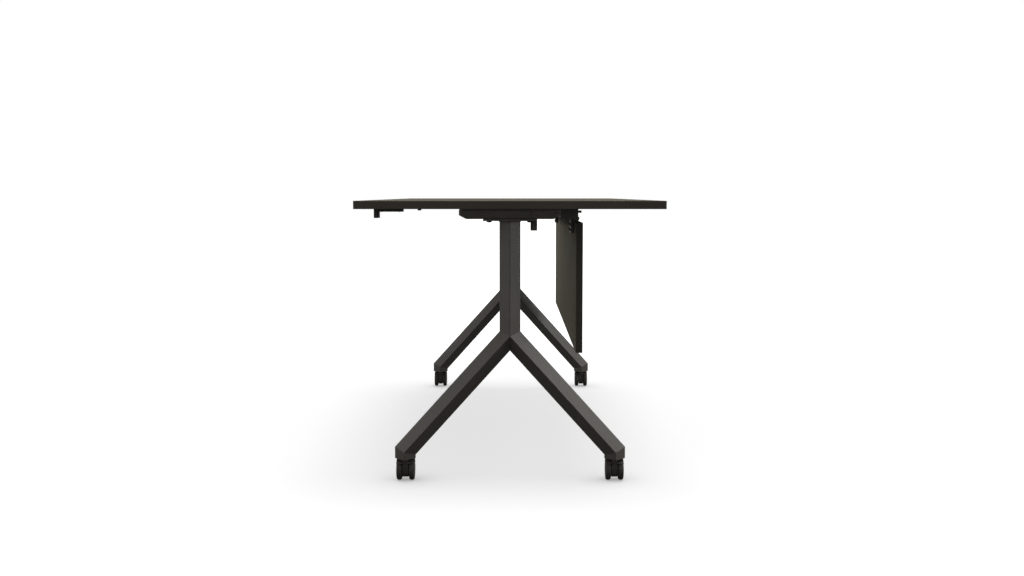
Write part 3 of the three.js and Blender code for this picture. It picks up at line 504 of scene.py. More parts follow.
def tube_piece(name, lower, upper, mirror, x, hole=None):
    """A closed tube between two rings of (y, z); mirror turns a rear member into a front one."""
    shape = bmesh.new()
    rings = []
    for ends in (lower, upper):
        rings.append([shape.verts.new(((x + u) * MM, mirror * y * MM, z * MM)) for (u, v), (y, z) in zip(RING, ends)])
    count = len(RING)
    for i in range(count):
        j = (i + 1) % count
        shape.faces.new((rings[0][i], rings[0][j], rings[1][j], rings[1][i]))
    half = TUBE_CORNER_STEPS // 2
    first = half
    second = half + 2 * (TUBE_CORNER_STEPS + 1)
    for number, ring in enumerate(rings):
        halves = [ring[first:second + 1], ring[second:] + ring[:first + 1]]
        if number == 0 and hole:
            halves = []
            rim = [shape.verts.new(((x + hole * math.cos(a)) * MM, mirror * (FOOT_SPREAD + hole * math.sin(a)) * MM, ring[0].co.z))
                   for a in [math.atan2(v, u) for u, v in RING]]
            bore = [shape.verts.new(vert.co + Vector((0, 0, 4 * MM))) for vert in rim]
            for i in range(count):
                j = (i + 1) % count
                shape.faces.new((ring[i], rim[i], rim[j], ring[j]))
                shape.faces.new((rim[i], bore[i], bore[j], rim[j]))
            shape.faces.new(bore)
        for loop in halves:
            shape.faces.new(loop)
    bmesh.ops.recalc_face_normals(shape, faces=shape.faces)
    obj = to_object(name, shape)
    obj.data.materials.append(POWDER)
    # The rounded corner strips are marked arris; the powder coat paints them dark as painted shade.
    mark = obj.data.attributes.new("arris", "FLOAT", "FACE")
    wide = TUBE_RADIUS * MM
    values = []
    for face in obj.data.polygons:
        longest = max((obj.data.vertices[a].co - obj.data.vertices[b].co).length for a, b in face.edge_keys)
        shortest = min((obj.data.vertices[a].co - obj.data.vertices[b].co).length for a, b in face.edge_keys)
        values.append(1.0 if len(face.vertices) == 4 and shortest < wide < longest else 0.0)
    mark.data.foreach_set("value", values)
    smooth(obj, 15)
    return obj


def leg(end, sign):
    """One Y-shaped leg: a post, two diagonals and two feet that meet at mitres."""
    x = sign * LEG_X
    post_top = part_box(f"{end}_post")[1].z / MM
    post_low = [(v, JUNCTION_Z + abs(v) * math.tan(LEG_ANGLE / 2)) for u, v in RING]
    post_high = [(v, post_top) for u, v in RING]
    obj = tube_piece(f"{end}_post_tube", post_low, post_high, 1, x)
    fit(obj, "frame", "powder_coated_steel", f"{end}_post")
    axis, across = (-SIN, COS), (COS, SIN)
    for side, turn in SIDES:
        low = [along(v, KNEE, axis, across, KNEE, MITRE_NORMAL) for u, v in RING]
        high = [along(v, KNEE, axis, across, JUNCTION, MITRE_NORMAL if v > 0 else UPRIGHT) for u, v in RING]
        obj = tube_piece(f"{end}_{side}_leg_tube", low, high, turn, x)
        fit(obj, "frame", "powder_coated_steel", f"{end}_{side}_leg")
        base = [(FOOT_SPREAD + v, FOOT_BOTTOM) for u, v in RING]
        top = [along(v, KNEE, LEVEL, UPRIGHT, KNEE, MITRE_NORMAL) for u, v in RING]
        obj = tube_piece(f"{end}_{side}_foot_tube", base, top, turn, x, hole=STEM_HOLE_RADIUS)
        fit(obj, "frame", "powder_coated_steel", f"{end}_{side}_foot")


BAR_RADIUS = 3.0
BAR_STEPS = 5
SADDLE_STEPS = 6


def post_face(y):
    """How far the post's surface stands out from its axis along X, at a distance y from its middle."""
    flat = TUBE_SIZE / math.sqrt(2)
    reach = (TUBE_SIZE / 2 - TUBE_RADIUS) * math.sqrt(2)
    if abs(y) < TUBE_RADIUS * math.sqrt(0.5):
        return reach + math.sqrt(TUBE_RADIUS ** 2 - y ** 2)
    return flat - abs(y)


def crossbar_outline():
    """The bar's section as rows of (y, lower z, upper z)."""
    low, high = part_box("crossbar")
    half, bottom, top = high.y / MM, low.z / MM, high.z / MM
    rows = []
    for step in range(BAR_STEPS + 1):
        a = step * math.pi / 2 / BAR_STEPS
        lift = BAR_RADIUS * (1 - math.sin(a))
        rows.append((-half + BAR_RADIUS * (1 - math.cos(a)), bottom + lift, top - lift))
    tip = TUBE_RADIUS * math.sqrt(0.5)
    middle = [(tip * (2 * i / SADDLE_STEPS - 1), bottom, top) for i in range(SADDLE_STEPS + 1)]
    return rows + middle + [(-y, low_z, high_z) for y, low_z, high_z in reversed(rows)]


def crossbar():
    """The stretcher: a rounded rectangular tube whose ends are cut to the posts."""
    rows = crossbar_outline()
    shape = bmesh.new()
    grid = {}
    for sign in (-1, 1):
        for i, (y, bottom, top) in enumerate(rows):
            x = sign * (LEG_X - post_face(y))
            grid[sign, i, 0] = shape.verts.new((x * MM, y * MM, bottom * MM))
            grid[sign, i, 1] = shape.verts.new((x * MM, y * MM, top * MM))
    last = len(rows) - 1
    for i in range(last):
        for level in (0, 1):
            shape.faces.new([grid[key] for key in ((-1, i, level), (1, i, level), (1, i + 1, level), (-1, i + 1, level))])
        for sign in (-1, 1):
            shape.faces.new([grid[key] for key in ((sign, i, 0), (sign, i + 1, 0), (sign, i + 1, 1), (sign, i, 1))])
    for i in (0, last):
        shape.faces.new([grid[key] for key in ((-1, i, 0), (1, i, 0), (1, i, 1), (-1, i, 1))])
    bmesh.ops.recalc_face_normals(shape, faces=shape.faces)
    obj = to_object("crossbar_tube", shape)
    obj.data.materials.append(POWDER)
    smooth(obj, 30)
    return fit(obj, "frame", "powder_coated_steel", "crossbar")


# Flip channel

CHANNEL_FOLD_Z = 710.0
CHANNEL_DRAFT = 0.3
CHANNEL_END_LENGTH = 16.0
CHANNEL_END_STEPS = 5
CHANNEL_TURN = {-1: 8.0, 1: 2.5}


def flip_channel(end, sign):
    """The pressed tray: its sides lean in below a fold, and turn in towards both ends."""
    node = f"{end}_flip_channel"
    shape = merged(node)
    low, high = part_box(node)
    middle = sign * LEG_X * MM
    half = high.y
    cuts = [((0, 0, CHANNEL_FOLD_Z * MM), (0, 0, 1))]
    for side in (-1, 1):
        for step in range(CHANNEL_END_STEPS):
            y = side * (half - CHANNEL_END_LENGTH * MM * (1 - step / CHANNEL_END_STEPS))
            cuts.append(((0, y, 0), (0, 1, 0)))
    for point, normal in cuts:
        geometry = list(shape.verts) + list(shape.edges) + list(shape.faces)
        bmesh.ops.bisect_plane(shape, geom=geometry, plane_co=point, plane_no=normal, dist=0.02 * MM)
    for vert in shape.verts:
        out = vert.co.x - middle
        drop = max(0.0, CHANNEL_FOLD_Z * MM - vert.co.z)
        into = max(0.0, (abs(vert.co.y) - half) / (CHANNEL_END_LENGTH * MM) + 1)
        side = 1 if vert.co.y > 0 else -1
        shift = CHANNEL_DRAFT * drop + CHANNEL_TURN[side] * MM * into * into
        if abs(out) > shift:
            vert.co.x -= math.copysign(shift, out)
    return dressed(node, "pressing", 0.8, ECOAT, "black_pressed_steel", shape)


# Casters

WHEEL_SEGMENTS = 72
WHEEL_PROFILE = (
    (0.0, 24.0), (4.0, 23.9), (7.4, 23.7), (8.0, 23.3), (8.1, 22.5), (8.9, 22.5), (9.1, 23.3), (9.6, 23.7),
    (14.0, 23.9), (18.0, 23.85), (20.3, 23.7), (20.7, 23.4), (20.9, 22.6), (21.5, 22.6), (21.7, 23.3),
    (22.2, 23.6), (23.6, 23.6), (24.8, 23.3), (25.9, 22.7), (26.7, 21.8), (27.3, 20.5), (27.5, 19.0),
    (27.5, 15.0), (27.3, 13.5), (26.7, 12.2), (25.9, 11.2), (24.8, 10.4), (23.6, 10.05), (22.6, 10.1),
    (22.3, 10.7), (21.7, 10.7), (21.4, 9.7), (20.9, 9.2), (8.0, 9.2), (7.0, 8.9), (3.5, 8.9), (3.12, 9.2),
    (3.12, 21.0), (0.0, 21.0),
)
TREAD_START = 21.2


def turned(profile, segments, centre, side):
    """A closed turned shape about an axis along Y; side -1 points it the other way."""
    shape = bmesh.new()
    rings = []
    for radius, out in profile:
        y = centre[1] + side * out
        if radius == 0:
            rings.append([shape.verts.new((centre[0] * MM, y * MM, centre[2] * MM))])
            continue
        ring = []
        for i in range(segments):
            a = 2 * math.pi * i / segments
            ring.append(shape.verts.new(((centre[0] + radius * math.cos(a)) * MM, y * MM, (centre[2] + radius * math.sin(a)) * MM)))
        rings.append(ring)
    for ring, after in zip(rings, rings[1:]):
        for i in range(segments):
            j = (i + 1) % segments
            loop = [ring[i % len(ring)], ring[j % len(ring)], after[j % len(after)], after[i % len(after)]]
            shape.faces.new(list(dict.fromkeys(loop)))
    bmesh.ops.recalc_face_normals(shape, faces=shape.faces)
    return shape


def caster(corner, end_sign, side_sign):
    """One twin-wheel caster: a moulded body between two wheels with treads."""
    dressed(f"{corner}_caster_body", "moulding", 0.8, NYLON, "black_nylon", steps=3)
    dressed(f"{corner}_caster_stem", "turned", 0.4, ZINC, "zinc_plated_steel")
    dressed(f"{corner}_caster_axle", "turned", 0.4, ZINC, "zinc_plated_steel")
    for wheel, sign in SIDES:
        node = f"{corner}_caster_{wheel}_wheel"
        low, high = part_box(node)
        centre = ((low.x + high.x) / 2 / MM, side_sign * FOOT_SPREAD, (low.z + high.z) / 2 / MM)
        obj = to_object(f"{node}_moulded", turned(WHEEL_PROFILE, WHEEL_SEGMENTS, centre, sign))
        obj.data.materials.append(TREAD)
        obj.data.materials.append(NYLON)
        for face in obj.data.polygons:
            at = face.center / MM
            radius = math.hypot(at.x - centre[0], at.z - centre[2])
            face.material_index = 0 if radius > TREAD_START else 1
        smooth(obj, 40)
        fit(obj, BODY_OF[node], "wheel_tread", node)


# What repeats: screws, ribs, welds, spring

def node_tree(name, inputs):
    """A Geometry Nodes tree with a geometry in and out, and the named inputs."""
    tree = bpy.data.node_groups.new(name, "GeometryNodeTree")
    tree.interface.new_socket("Geometry", in_out="INPUT", socket_type="NodeSocketGeometry")
    tree.interface.new_socket("Geometry", in_out="OUTPUT", socket_type="NodeSocketGeometry")
    for label, kind in inputs.items():
        tree.interface.new_socket(label, in_out="INPUT", socket_type=kind)
    return tree, add(tree, "NodeGroupInput").outputs


def finish_tree(tree, geometry, material_socket):
    """Ends a tree: real geometry, smooth, in the finish given."""
    real = add(tree, "GeometryNodeRealizeInstances", {"Geometry": geometry})
    soft = add(tree, "GeometryNodeSetShadeSmooth", {"Geometry": real.outputs[0]})
    done = add(tree, "GeometryNodeSetMaterial", {"Geometry": soft.outputs[0], "Material": material_socket})
    add(tree, "NodeGroupOutput", {0: done.outputs[0]})


def grow(name, seed, tree, values, body, slot, *nodes):
    """Runs a tree on a seed mesh and keeps the result as a plain mesh that moves with the body."""
    obj = new_object(name, seed)
    run = obj.modifiers.new("grow", "NODES")
    run.node_group = tree
    for item in tree.interface.items_tree:
        if item.in_out == "INPUT" and item.name in values:
            run[item.identifier] = values[item.name]
    apply_modifiers(obj)
    smooth(obj, 40)
    return fit(obj, body, slot, *nodes)


def screw_tree():
    """Heads set on points, each along its point's own facing and turned to a chance angle."""
    tree, given = node_tree("screws", {
        "Head": "NodeSocketObject",
        "Diameter": "NodeSocketFloat",
        "Height": "NodeSocketFloat",
        "Seed": "NodeSocketInt",
        "Finish": "NodeSocketMaterial",
    })
    facing = add(tree, "GeometryNodeInputNamedAttribute", {"Name": "facing"}, data_type="FLOAT_VECTOR")
    aimed = add(tree, "FunctionNodeAlignRotationToVector", {"Vector": facing.outputs[0]}, axis="Z")
    chance = add(tree, "FunctionNodeRandomValue", {2: 0.0, 3: math.tau, "Seed": given["Seed"]}, data_type="FLOAT")
    spin = add(tree, "FunctionNodeAxisAngleToRotation", {"Axis": (0.0, 0.0, 1.0), "Angle": chance.outputs[1]})
    turn = add(tree, "FunctionNodeRotateRotation", {0: aimed.outputs[0], 1: spin.outputs[0]}, rotation_space="LOCAL")
    size = add(tree, "ShaderNodeCombineXYZ", {0: given["Diameter"], 1: given["Diameter"], 2: given["Height"]})
    head = add(tree, "GeometryNodeObjectInfo", {"Object": given["Head"], "As Instance": True})
    heads = add(tree, "GeometryNodeInstanceOnPoints", {
        "Points": given["Geometry"],
        "Instance": head.outputs["Geometry"],
        "Rotation": turn.outputs[0],
        "Scale": size.outputs[0],
    })
    finish_tree(tree, heads.outputs[0], given["Finish"])
    return tree


def bead_tree():
    """A round bead along each line of the seed, swelling a little at every ripple."""
    tree, given = node_tree("beads", {
        "Radius": "NodeSocketFloat",
        "Ripple": "NodeSocketFloat",
        "Pitch": "NodeSocketFloat",
        "Step": "NodeSocketFloat",
        "Sides": "NodeSocketInt",
        "Finish": "NodeSocketMaterial",
    })
    lines = add(tree, "GeometryNodeMeshToCurve", {0: given["Geometry"]})
    fine = add(tree, "GeometryNodeResampleCurve", {0: lines.outputs[0], "Length": given["Step"]}, mode="LENGTH")
    run = add(tree, "GeometryNodeSplineParameter")
    turns = add(tree, "ShaderNodeMath", {0: run.outputs["Length"], 1: given["Pitch"]}, operation="DIVIDE")
    angle = add(tree, "ShaderNodeMath", {0: turns.outputs[0], 1: math.tau}, operation="MULTIPLY")
    wave = add(tree, "ShaderNodeMath", {0: angle.outputs[0]}, operation="SINE")
    swell = add(tree, "ShaderNodeMath", {0: wave.outputs[0], 1: given["Ripple"], 2: 1.0}, operation="MULTIPLY_ADD")
    round_section = add(tree, "GeometryNodeCurvePrimitiveCircle", {"Resolution": given["Sides"], "Radius": given["Radius"]})
    bead = add(tree, "GeometryNodeCurveToMesh", {
        "Curve": fine.outputs[0],
        "Profile Curve": round_section.outputs[0],
        "Scale": swell.outputs[0],
        "Fill Caps": True,
    })
    finish_tree(tree, bead.outputs[0], given["Finish"])
    return tree


def spring_tree():
    """A wire coil along X."""
    tree, given = node_tree("coil", {
        "Turns": "NodeSocketFloat",
        "Radius": "NodeSocketFloat",
        "Length": "NodeSocketFloat",
        "Wire": "NodeSocketFloat",
        "Place": "NodeSocketVector",
        "Finish": "NodeSocketMaterial",
    })
    helix = add(tree, "GeometryNodeCurveSpiral", {
        "Resolution": 32,
        "Rotations": given["Turns"],
        "Start Radius": given["Radius"],
        "End Radius": given["Radius"],
        "Height": given["Length"],
    })
    wire = add(tree, "GeometryNodeCurvePrimitiveCircle", {"Resolution": 10, "Radius": given["Wire"]})
    coil = add(tree, "GeometryNodeCurveToMesh", {0: helix.outputs[0], 1: wire.outputs[0], "Fill Caps": True})
    laid = add(tree, "GeometryNodeTransform", {
        "Geometry": coil.outputs[0],
        "Translation": given["Place"],
        "Rotation": (math.pi / 2, 0.0, math.pi / 2),
    })
    finish_tree(tree, laid.outputs[0], given["Finish"])
    return tree


def head_shape(name, recess, recess_depth):
    """A dome head of unit diameter and height on Z = 0; recess gives the drive's radius at an angle."""
    arm = math.atan2(RECESS_HALF_WIDTH, RECESS_LENGTH)
    steps = (0.0, arm, (arm + math.pi / 4) / 2, math.pi / 4, math.pi / 2 - (arm + math.pi / 4) / 2, math.pi / 2 - arm)
    angles = [quarter * math.pi / 2 + a for quarter in range(4) for a in steps]
    shape = bmesh.new()
    dome = [(0.5, 0.0), (0.5, 0.16), (0.47, 0.4), (0.41, 0.64), (0.32, 0.85)]
    rings = [[(r * math.cos(a), r * math.sin(a), z) for a in angles] for r, z in dome]
    if recess:
        for z in (0.93, 1.0 - recess_depth):
            rings.append([(recess(a) * math.cos(a), recess(a) * math.sin(a), z) for a in angles])
        tip = 1.0 - recess_depth
    else:
        rings.append([(0.16 * math.cos(a), 0.16 * math.sin(a), 0.97) for a in angles])
        tip = 1.0
    verts = [[shape.verts.new(point) for point in ring] for ring in rings]
    count = len(angles)
    for ring, after in zip(verts, verts[1:]):
        for i in range(count):
            j = (i + 1) % count
            shape.faces.new((ring[i], ring[j], after[j], after[i]))
    top = shape.verts.new((0.0, 0.0, tip))
    base = shape.verts.new((0.0, 0.0, 0.0))
    for i in range(count):
        j = (i + 1) % count
        shape.faces.new((verts[-1][i], verts[-1][j], top))
        shape.faces.new((verts[0][j], verts[0][i], base))
    bmesh.ops.recalc_face_normals(shape, faces=shape.faces)
    return to_object(name, shape)


RECESS_HALF_WIDTH = 0.055
RECESS_LENGTH = 0.24
SOCKET_HALF = 0.2


def cross_recess(angle):
    """A cross drive: its edge's distance from the middle at an angle."""
    a = angle % (math.pi / 2)
    a = min(a, math.pi / 2 - a)
    if math.tan(a) <= RECESS_HALF_WIDTH / RECESS_LENGTH + 1e-9:
        return RECESS_LENGTH / math.cos(a)
    return RECESS_HALF_WIDTH / math.sin(a)


def hex_socket(angle):
    """A hexagon socket: its edge's distance from the middle at an angle."""
    return SOCKET_HALF / math.cos((angle + math.pi / 6) % (math.pi / 3) - math.pi / 6)


def points_mesh(name, spots):
    """A seed of loose points, each with the way its screw faces."""
    mesh = bpy.data.meshes.new(name)
    mesh.from_pydata([tuple(c * MM for c in spot) for spot, way in spots], [], [])
    facing = mesh.attributes.new("facing", "FLOAT_VECTOR", "POINT")
    facing.data.foreach_set("vector", [c for spot, way in spots for c in way])
    return mesh


def lines_mesh(name, lines):
    """A seed of lines; a line whose first point is also its last is closed."""
    mesh = bpy.data.meshes.new(name)
    verts, edges = [], []
    for line in lines:
        ring = line[0] == line[-1]
        start = len(verts)
        points = line[:-1] if ring else line
        verts.extend(tuple(c * MM for c in point) for point in points)
        edges.extend((start + i, start + i + 1) for i in range(len(points) - 1))
        if ring:
            edges.append((start + len(points) - 1, start))
    mesh.from_pydata(verts, edges, [])
    return mesh


DOWN = (0.0, 0.0, -1.0)
FORWARD = (0.0, -1.0, 0.0)
# The hinge bases' skirt falls 5 mm in 29.2 mm towards the pin; its screws stand on the middle of that slope,
# this far behind the base's front edge and above its lowest point
SKIRT_WAY = (0.0, -0.169, -0.986)
SKIRT_BACK = 14.2
SKIRT_UP = 7.87


def level_of(node, corner):
    """A node's lowest (0) or highest (1) corner in millimetres."""
    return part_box(node)[corner] / MM


def screws():
    """Button heads in the post plates, pan heads in the brackets, hinges and guides, caps on the pins."""
    tree = screw_tree()
    button = head_shape("button_head", hex_socket, 0.55)
    pan = head_shape("pan_head", cross_recess, 0.6)
    cap = head_shape("push_cap", None, 0.0)
    plate, bracket, base, leaf, guide = [], [], [], [], []
    for end, sign in ENDS:
        x = sign * LEG_X
        z = level_of(f"{end}_post_plate", 0).z
        plate += [((x + dx, y, z), DOWN) for dx in (-22, 22) for y in (-54, 51)]
        z = level_of(f"{end}_tilt_bracket", 1).z - 3.0
        bracket += [((x + dx, y, z), DOWN) for dx in (-17, 17) for y in (-98, -45, 10, 90)]
        low, high = level_of(f"{end}_hinge_base", 0), level_of(f"{end}_hinge_base", 1)
        middle = (low.x + high.x) / 2
        base += [((middle + dx, low.y + SKIRT_BACK, low.z + SKIRT_UP), SKIRT_WAY) for dx in (-28, 0, 28)]
        low = level_of(f"{end}_hinge_leaf", 0)
        leaf += [((middle + dx, low.y, low.z + dz), FORWARD) for dx in (-30, 0, 30) for dz in (8, 23)]
        low, high = level_of(f"{end}_pull_guide", 0), level_of(f"{end}_pull_guide", 1)
        guide += [((gx, gy, low.z), DOWN) for gx in (low.x + 2.6, high.x - 2.6) for gy in (low.y + 9, high.y - 9)]
    heads = {"Head": button, "Diameter": 14.5 * MM, "Height": 4.2 * MM, "Seed": 3, "Finish": OXIDE}
    grow("frame_button_screws", points_mesh("plate_points", plate), tree, heads, "frame", "black_pressed_steel")
    heads = {"Head": pan, "Diameter": 8 * MM, "Height": 2.6 * MM, "Seed": 5, "Finish": OXIDE}
    seed = points_mesh("bracket_points", bracket + base)
    grow("tabletop_pan_screws", seed, tree, heads, "tabletop", "black_pressed_steel")
    heads = {"Head": pan, "Diameter": 7.5 * MM, "Height": 2.4 * MM, "Seed": 7, "Finish": OXIDE}
    grow("panel_pan_screws", points_mesh("leaf_points", leaf), tree, heads, "panel", "black_pressed_steel")
    heads = {"Head": pan, "Diameter": 4.6 * MM, "Height": 0.5 * MM, "Seed": 9, "Finish": OXIDE}
    grow("guide_pan_screws", points_mesh("guide_points", guide), tree, heads, "tabletop", "black_pressed_steel")
    for word, diameter in (("pivot_pin", 12), ("catch_bar", 8)):
        pins = []
        for end, sign in ENDS:
            low, high = level_of(f"{end}_{word}", 0), level_of(f"{end}_{word}", 1)
            y, z = (low.y + high.y) / 2, (low.z + high.z) / 2
            pins += [((low.x, y, z), (-1.0, 0.0, 0.0)), ((high.x, y, z), (1.0, 0.0, 0.0))]
        heads = {"Head": cap, "Diameter": diameter * MM, "Height": 2.6 * MM, "Seed": 11, "Finish": ECOAT}
        grow(f"{word}_caps", points_mesh(f"{word}_points", pins), tree, heads, "frame", "black_pressed_steel")
    for template in (button, pan, cap):
        bpy.data.objects.remove(template)


def welds_and_ribs():
    """Weld beads at the post heads and the stretcher's ends, and grip ribs on the paddles and tabs."""
    tree = bead_tree()
    beads = []
    rows = crossbar_outline()
    for end, sign in ENDS:
        z = level_of(f"{end}_post", 1).z
        ring = [(sign * LEG_X + u, v, z) for u, v in RING]
        beads.append(ring + ring[:1])
        loop = [(sign * (LEG_X - post_face(y)), y, top) for y, bottom, top in rows]
        loop += [(sign * (LEG_X - post_face(y)), y, bottom) for y, bottom, top in reversed(rows)]
        beads.append(loop + loop[:1])
    weld = {"Radius": 2.2 * MM, "Ripple": 0.14, "Pitch": 3.2 * MM, "Step": 0.8 * MM, "Sides": 10, "Finish": POWDER}
    grow("frame_weld_beads", lines_mesh("weld_lines", beads), tree, weld, "frame", "powder_coated_steel")
    rib = {"Radius": 0.9 * MM, "Ripple": 0.0, "Pitch": 1.0, "Step": 2 * MM, "Sides": 10, "Finish": NYLON}
    paddle_ribs = []
    for end, sign in ENDS:
        low, high = level_of(f"{end}_release_paddle", 0), level_of(f"{end}_release_paddle", 1)
        for y in (low.y + 0.5, high.y - 0.5):
            for rise in (8, 12, 16, 20):
                paddle_ribs.append([(low.x + 4, y, low.z + rise), (high.x - 4, y, low.z + rise)])
        low, high = level_of(f"{end}_pull_tab", 0), level_of(f"{end}_pull_tab", 1)
        tab = []
        for rise in (5, 9, 13):
            for y in (low.y + 0.5, low.y + 11.5):
                tab.append([(low.x + 5, y, low.z + rise), (high.x - 5, y, low.z + rise)])
        grow(f"{end}_pull_tab_ribs", lines_mesh("tab_lines", tab), tree, rib, f"{end}_pull", "black_nylon")
    grow("paddle_ribs", lines_mesh("paddle_lines", paddle_ribs), tree, rib, "release", "black_nylon")


SPRING_TURNS = 4.25
SPRING_PITCH = 2.0
SPRING_RADIUS = 5.2
SPRING_WIRE = 0.8


def release_spring():
    """The return spring on the release shaft."""
    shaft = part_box("release_shaft")
    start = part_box("release_spring")[0].x + SPRING_WIRE * MM
    place = (start, (shaft[0].y + shaft[1].y) / 2, (shaft[0].z + shaft[1].z) / 2)
    coil = {
        "Turns": SPRING_TURNS,
        "Radius": SPRING_RADIUS * MM,
        "Length": SPRING_TURNS * SPRING_PITCH * MM,
        "Wire": SPRING_WIRE * MM,
        "Place": place,
        "Finish": ZINC,
    }
    seed = bpy.data.meshes.new("coil_seed")
    grow("release_spring_coil", seed, spring_tree(), coil, "release", "zinc_plated_steel", "release_spring")


# Everything put together

def camera():
    view = bpy.data.cameras.new("camera")
    view.lens = CAMERA_LENS
    view.sensor_width = SENSOR_WIDTH
    obj = bpy.data.objects.new("camera", view)
    bpy.context.scene.collection.objects.link(obj)
    ahead = Vector((
        -math.cos(CAMERA_PITCH) * math.cos(CAMERA_YAW),
        -math.cos(CAMERA_PITCH) * math.sin(CAMERA_YAW),
        -math.sin(CAMERA_PITCH),
    ))
    obj.location = CAMERA_PLACE
    obj.rotation_euler = ahead.to_track_quat("-Z", "Y").to_euler()
    bpy.context.scene.camera = obj


def floor():
    """A pale floor that keeps the shadows and glows to white away from the table."""
    # Painted floor, matt and pale. Reflections see a third of its glow, because the paint is dull.
    made, tree, place = material("pale studio floor, painted")
    path = add(tree, "ShaderNodeLightPath").outputs
    dull = add(tree, "ShaderNodeMath", {0: path["Is Glossy Ray"], 1: FLOOR_SHINE}, operation="MULTIPLY")
    seen = add(tree, "ShaderNodeMath", {0: path["Is Camera Ray"], 1: path["Is Transmission Ray"]}, operation="MAXIMUM")
    seen = add(tree, "ShaderNodeMath", {0: seen.outputs[0], 1: dull.outputs[0]}, operation="MAXIMUM")
    away = add(tree, "ShaderNodeVectorMath", {0: place}, operation="LENGTH")
    reach = {0: away.outputs["Value"], 1: FADE_START, 2: FADE_END, 3: FLOOR_GLOW, 4: 1.0}
    fade = add(tree, "ShaderNodeMapRange", reach, interpolation_type="SMOOTHSTEP")
    tone = add(tree, "ShaderNodeMix", {0: seen.outputs[0], 6: linear("343434"), 7: linear("c4c4c4")}, data_type="RGBA")
    lit = add(tree, "ShaderNodeBsdfDiffuse", {"Color": tone.outputs[2]})
    # The glow is dimmed by ambient occlusion close to the casters and feet: a painted contact shadow.
    nook = add(tree, "ShaderNodeAmbientOcclusion", {"Distance": CONTACT_REACH}, samples=8)
    near = add(tree, "ShaderNodeMapRange", {0: nook.outputs["AO"], 1: 0.0, 2: 1.0, 3: CONTACT_GLOW, 4: 1.0})
    glow = add(tree, "ShaderNodeMath", {0: fade.outputs[0], 1: seen.outputs[0]}, operation="MULTIPLY")
    glow = add(tree, "ShaderNodeMath", {0: glow.outputs[0], 1: near.outputs[0]}, operation="MULTIPLY")
    white = add(tree, "ShaderNodeEmission", {"Color": (1.0, 1.0, 1.0, 1.0), "Strength": glow.outputs[0]})
    both = add(tree, "ShaderNodeAddShader", {0: lit.outputs[0], 1: white.outputs[0]})
    add(tree, "ShaderNodeOutputMaterial", {"Surface": both.outputs[0]})
    mesh = bpy.data.meshes.new("floor")
    mesh.from_pydata([(FLOOR_HALF * a, FLOOR_HALF * b, 0.0) for a, b in ((-1, -1), (1, -1), (1, 1), (-1, 1))], [], [(0, 1, 2, 3)])
    mesh.materials.append(made)
    ground = new_object("floor", mesh)
    return ground


FLOOR_HALF = 30.0
FLOOR_GLOW = 0.61
FLOOR_SHINE = 0.25
CONTACT_REACH = 0.1
CONTACT_GLOW = 0.45
FADE_START = 0.9
FADE_END = 2.6
SUN_WAY = (0.1, -0.08, -1.0)
SUN_STRENGTH = 0.95
SUN_SPREAD = math.radians(32)
LAMPS = (
    # name, place, what it is aimed at, length along X and the other side, degrees of spread, watts
    ("right_softbox", (0.6, 3.0, 3.0), (0.3, 0.0, 0.35), (2.0, 2.0), 180, 69.0),
    ("left_softbox", (1.0, -3.0, 1.1), (0.4, 0.0, 0.35), (2.0, 2.0), 180, 9.5),
    ("right_strip", (0.75, 3.0, 0.6), (0.75, 0.0, 0.5), (1.2, 0.6), 180, 9.5),
    ("left_strip", (-1.9, -3.0, 0.55), (-0.9, 0.18, 1.35), (1.2, 0.4), 46, 8.0),
)
SKY = 0.5


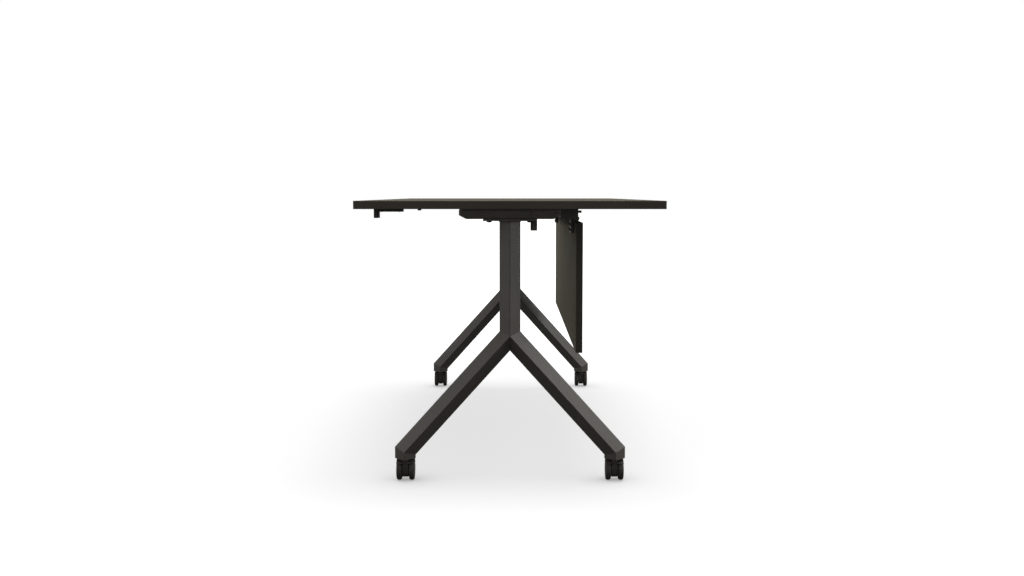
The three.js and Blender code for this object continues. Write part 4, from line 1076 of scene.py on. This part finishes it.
def light(ground):
    """A soft even sky, a wide light overhead, and softboxes at the sides, the stronger one on the right."""
    world = bpy.data.worlds.new("studio")
    world.use_nodes = True
    tree = world.node_tree
    tree.nodes.clear()
    path = add(tree, "ShaderNodeLightPath").outputs
    seen = add(tree, "ShaderNodeMath", {0: path["Is Camera Ray"], 1: path["Is Glossy Ray"]}, operation="MAXIMUM")
    seen = add(tree, "ShaderNodeMath", {0: seen.outputs[0], 1: path["Is Transmission Ray"]}, operation="MAXIMUM")
    sky = add(tree, "ShaderNodeBackground", {"Color": (1.0, 1.0, 1.0, 1.0), "Strength": SKY})
    white = add(tree, "ShaderNodeBackground", {"Color": (1.0, 1.0, 1.0, 1.0), "Strength": 1.0})
    both = add(tree, "ShaderNodeMixShader", {0: seen.outputs[0], 1: sky.outputs[0], 2: white.outputs[0]})
    add(tree, "ShaderNodeOutputWorld", {"Surface": both.outputs[0]})
    bpy.context.scene.world = world
    unlit = bpy.data.collections.new("unlit_by_side_lamps")
    unlit.objects.link(ground)
    unlit.collection_objects[0].light_linking.link_state = "EXCLUDE"
    lamps = [("overhead_light", "SUN", (0.0, 0.0, 3.0), Vector(SUN_WAY))]
    lamps += [(name, "AREA", place, Vector(aim) - Vector(place)) for name, place, aim, size, opening, watts in LAMPS]
    made = []
    for name, kind, place, way in lamps:
        obj = bpy.data.objects.new(name, bpy.data.lights.new(name, kind))
        bpy.context.scene.collection.objects.link(obj)
        obj.location = place
        obj.rotation_euler = way.to_track_quat("-Z", "Y").to_euler()
        made.append(obj)
    made[0].data.energy = SUN_STRENGTH
    made[0].data.angle = SUN_SPREAD
    for obj, (name, place, aim, (length, width), opening, watts) in zip(made[1:], LAMPS):
        obj.data.shape = "RECTANGLE"
        obj.data.size = length
        obj.data.size_y = width
        obj.data.spread = math.radians(opening)
        obj.data.energy = watts
        obj.light_linking.receiver_collection = unlit
    bpy.context.scene.view_settings.view_transform = "Standard"


camera()
top_board()
edge_band()
modesty_panel()
crossbar()
release_spring()
dressed("release_shaft", "turned", 0.6, ZINC, "zinc_plated_steel")
for end, sign in ENDS:
    leg(end, sign)
    flip_channel(end, sign)
    dressed(f"{end}_post_plate", "cut", 0.8, POWDER, "powder_coated_steel")
    dressed(f"{end}_tilt_bracket", "pressing", 0.6, ECOAT, "black_pressed_steel")
    dressed(f"{end}_hinge_base", "pressing", 0.8, ECOAT, "black_pressed_steel")
    dressed(f"{end}_hinge_leaf", "pressing", 0.8, ECOAT, "black_pressed_steel")
    dressed(f"{end}_pivot_pin", "turned", 0.5, ZINC, "zinc_plated_steel")
    dressed(f"{end}_catch_bar", "turned", 0.4, ZINC, "zinc_plated_steel")
    dressed(f"{end}_latch_hook", "cut", 0.4, ZINC, "zinc_plated_steel")
    dressed(f"{end}_pull_rod", "turned", 0.4, ZINC, "zinc_plated_steel")
    dressed(f"{end}_pull_guide", "moulding", 0.6, NYLON, "black_nylon")
    dressed(f"{end}_pull_tab", "moulding", 1.2, NYLON, "black_nylon", steps=3)
    dressed(f"{end}_release_paddle", "moulding", 0.4, LIGHTENED_LEVER_NYLON, "black_nylon")
    for side, turn in SIDES:
        caster(f"{end}_{side}", sign, turn)
screws()
welds_and_ribs()
light(floor())
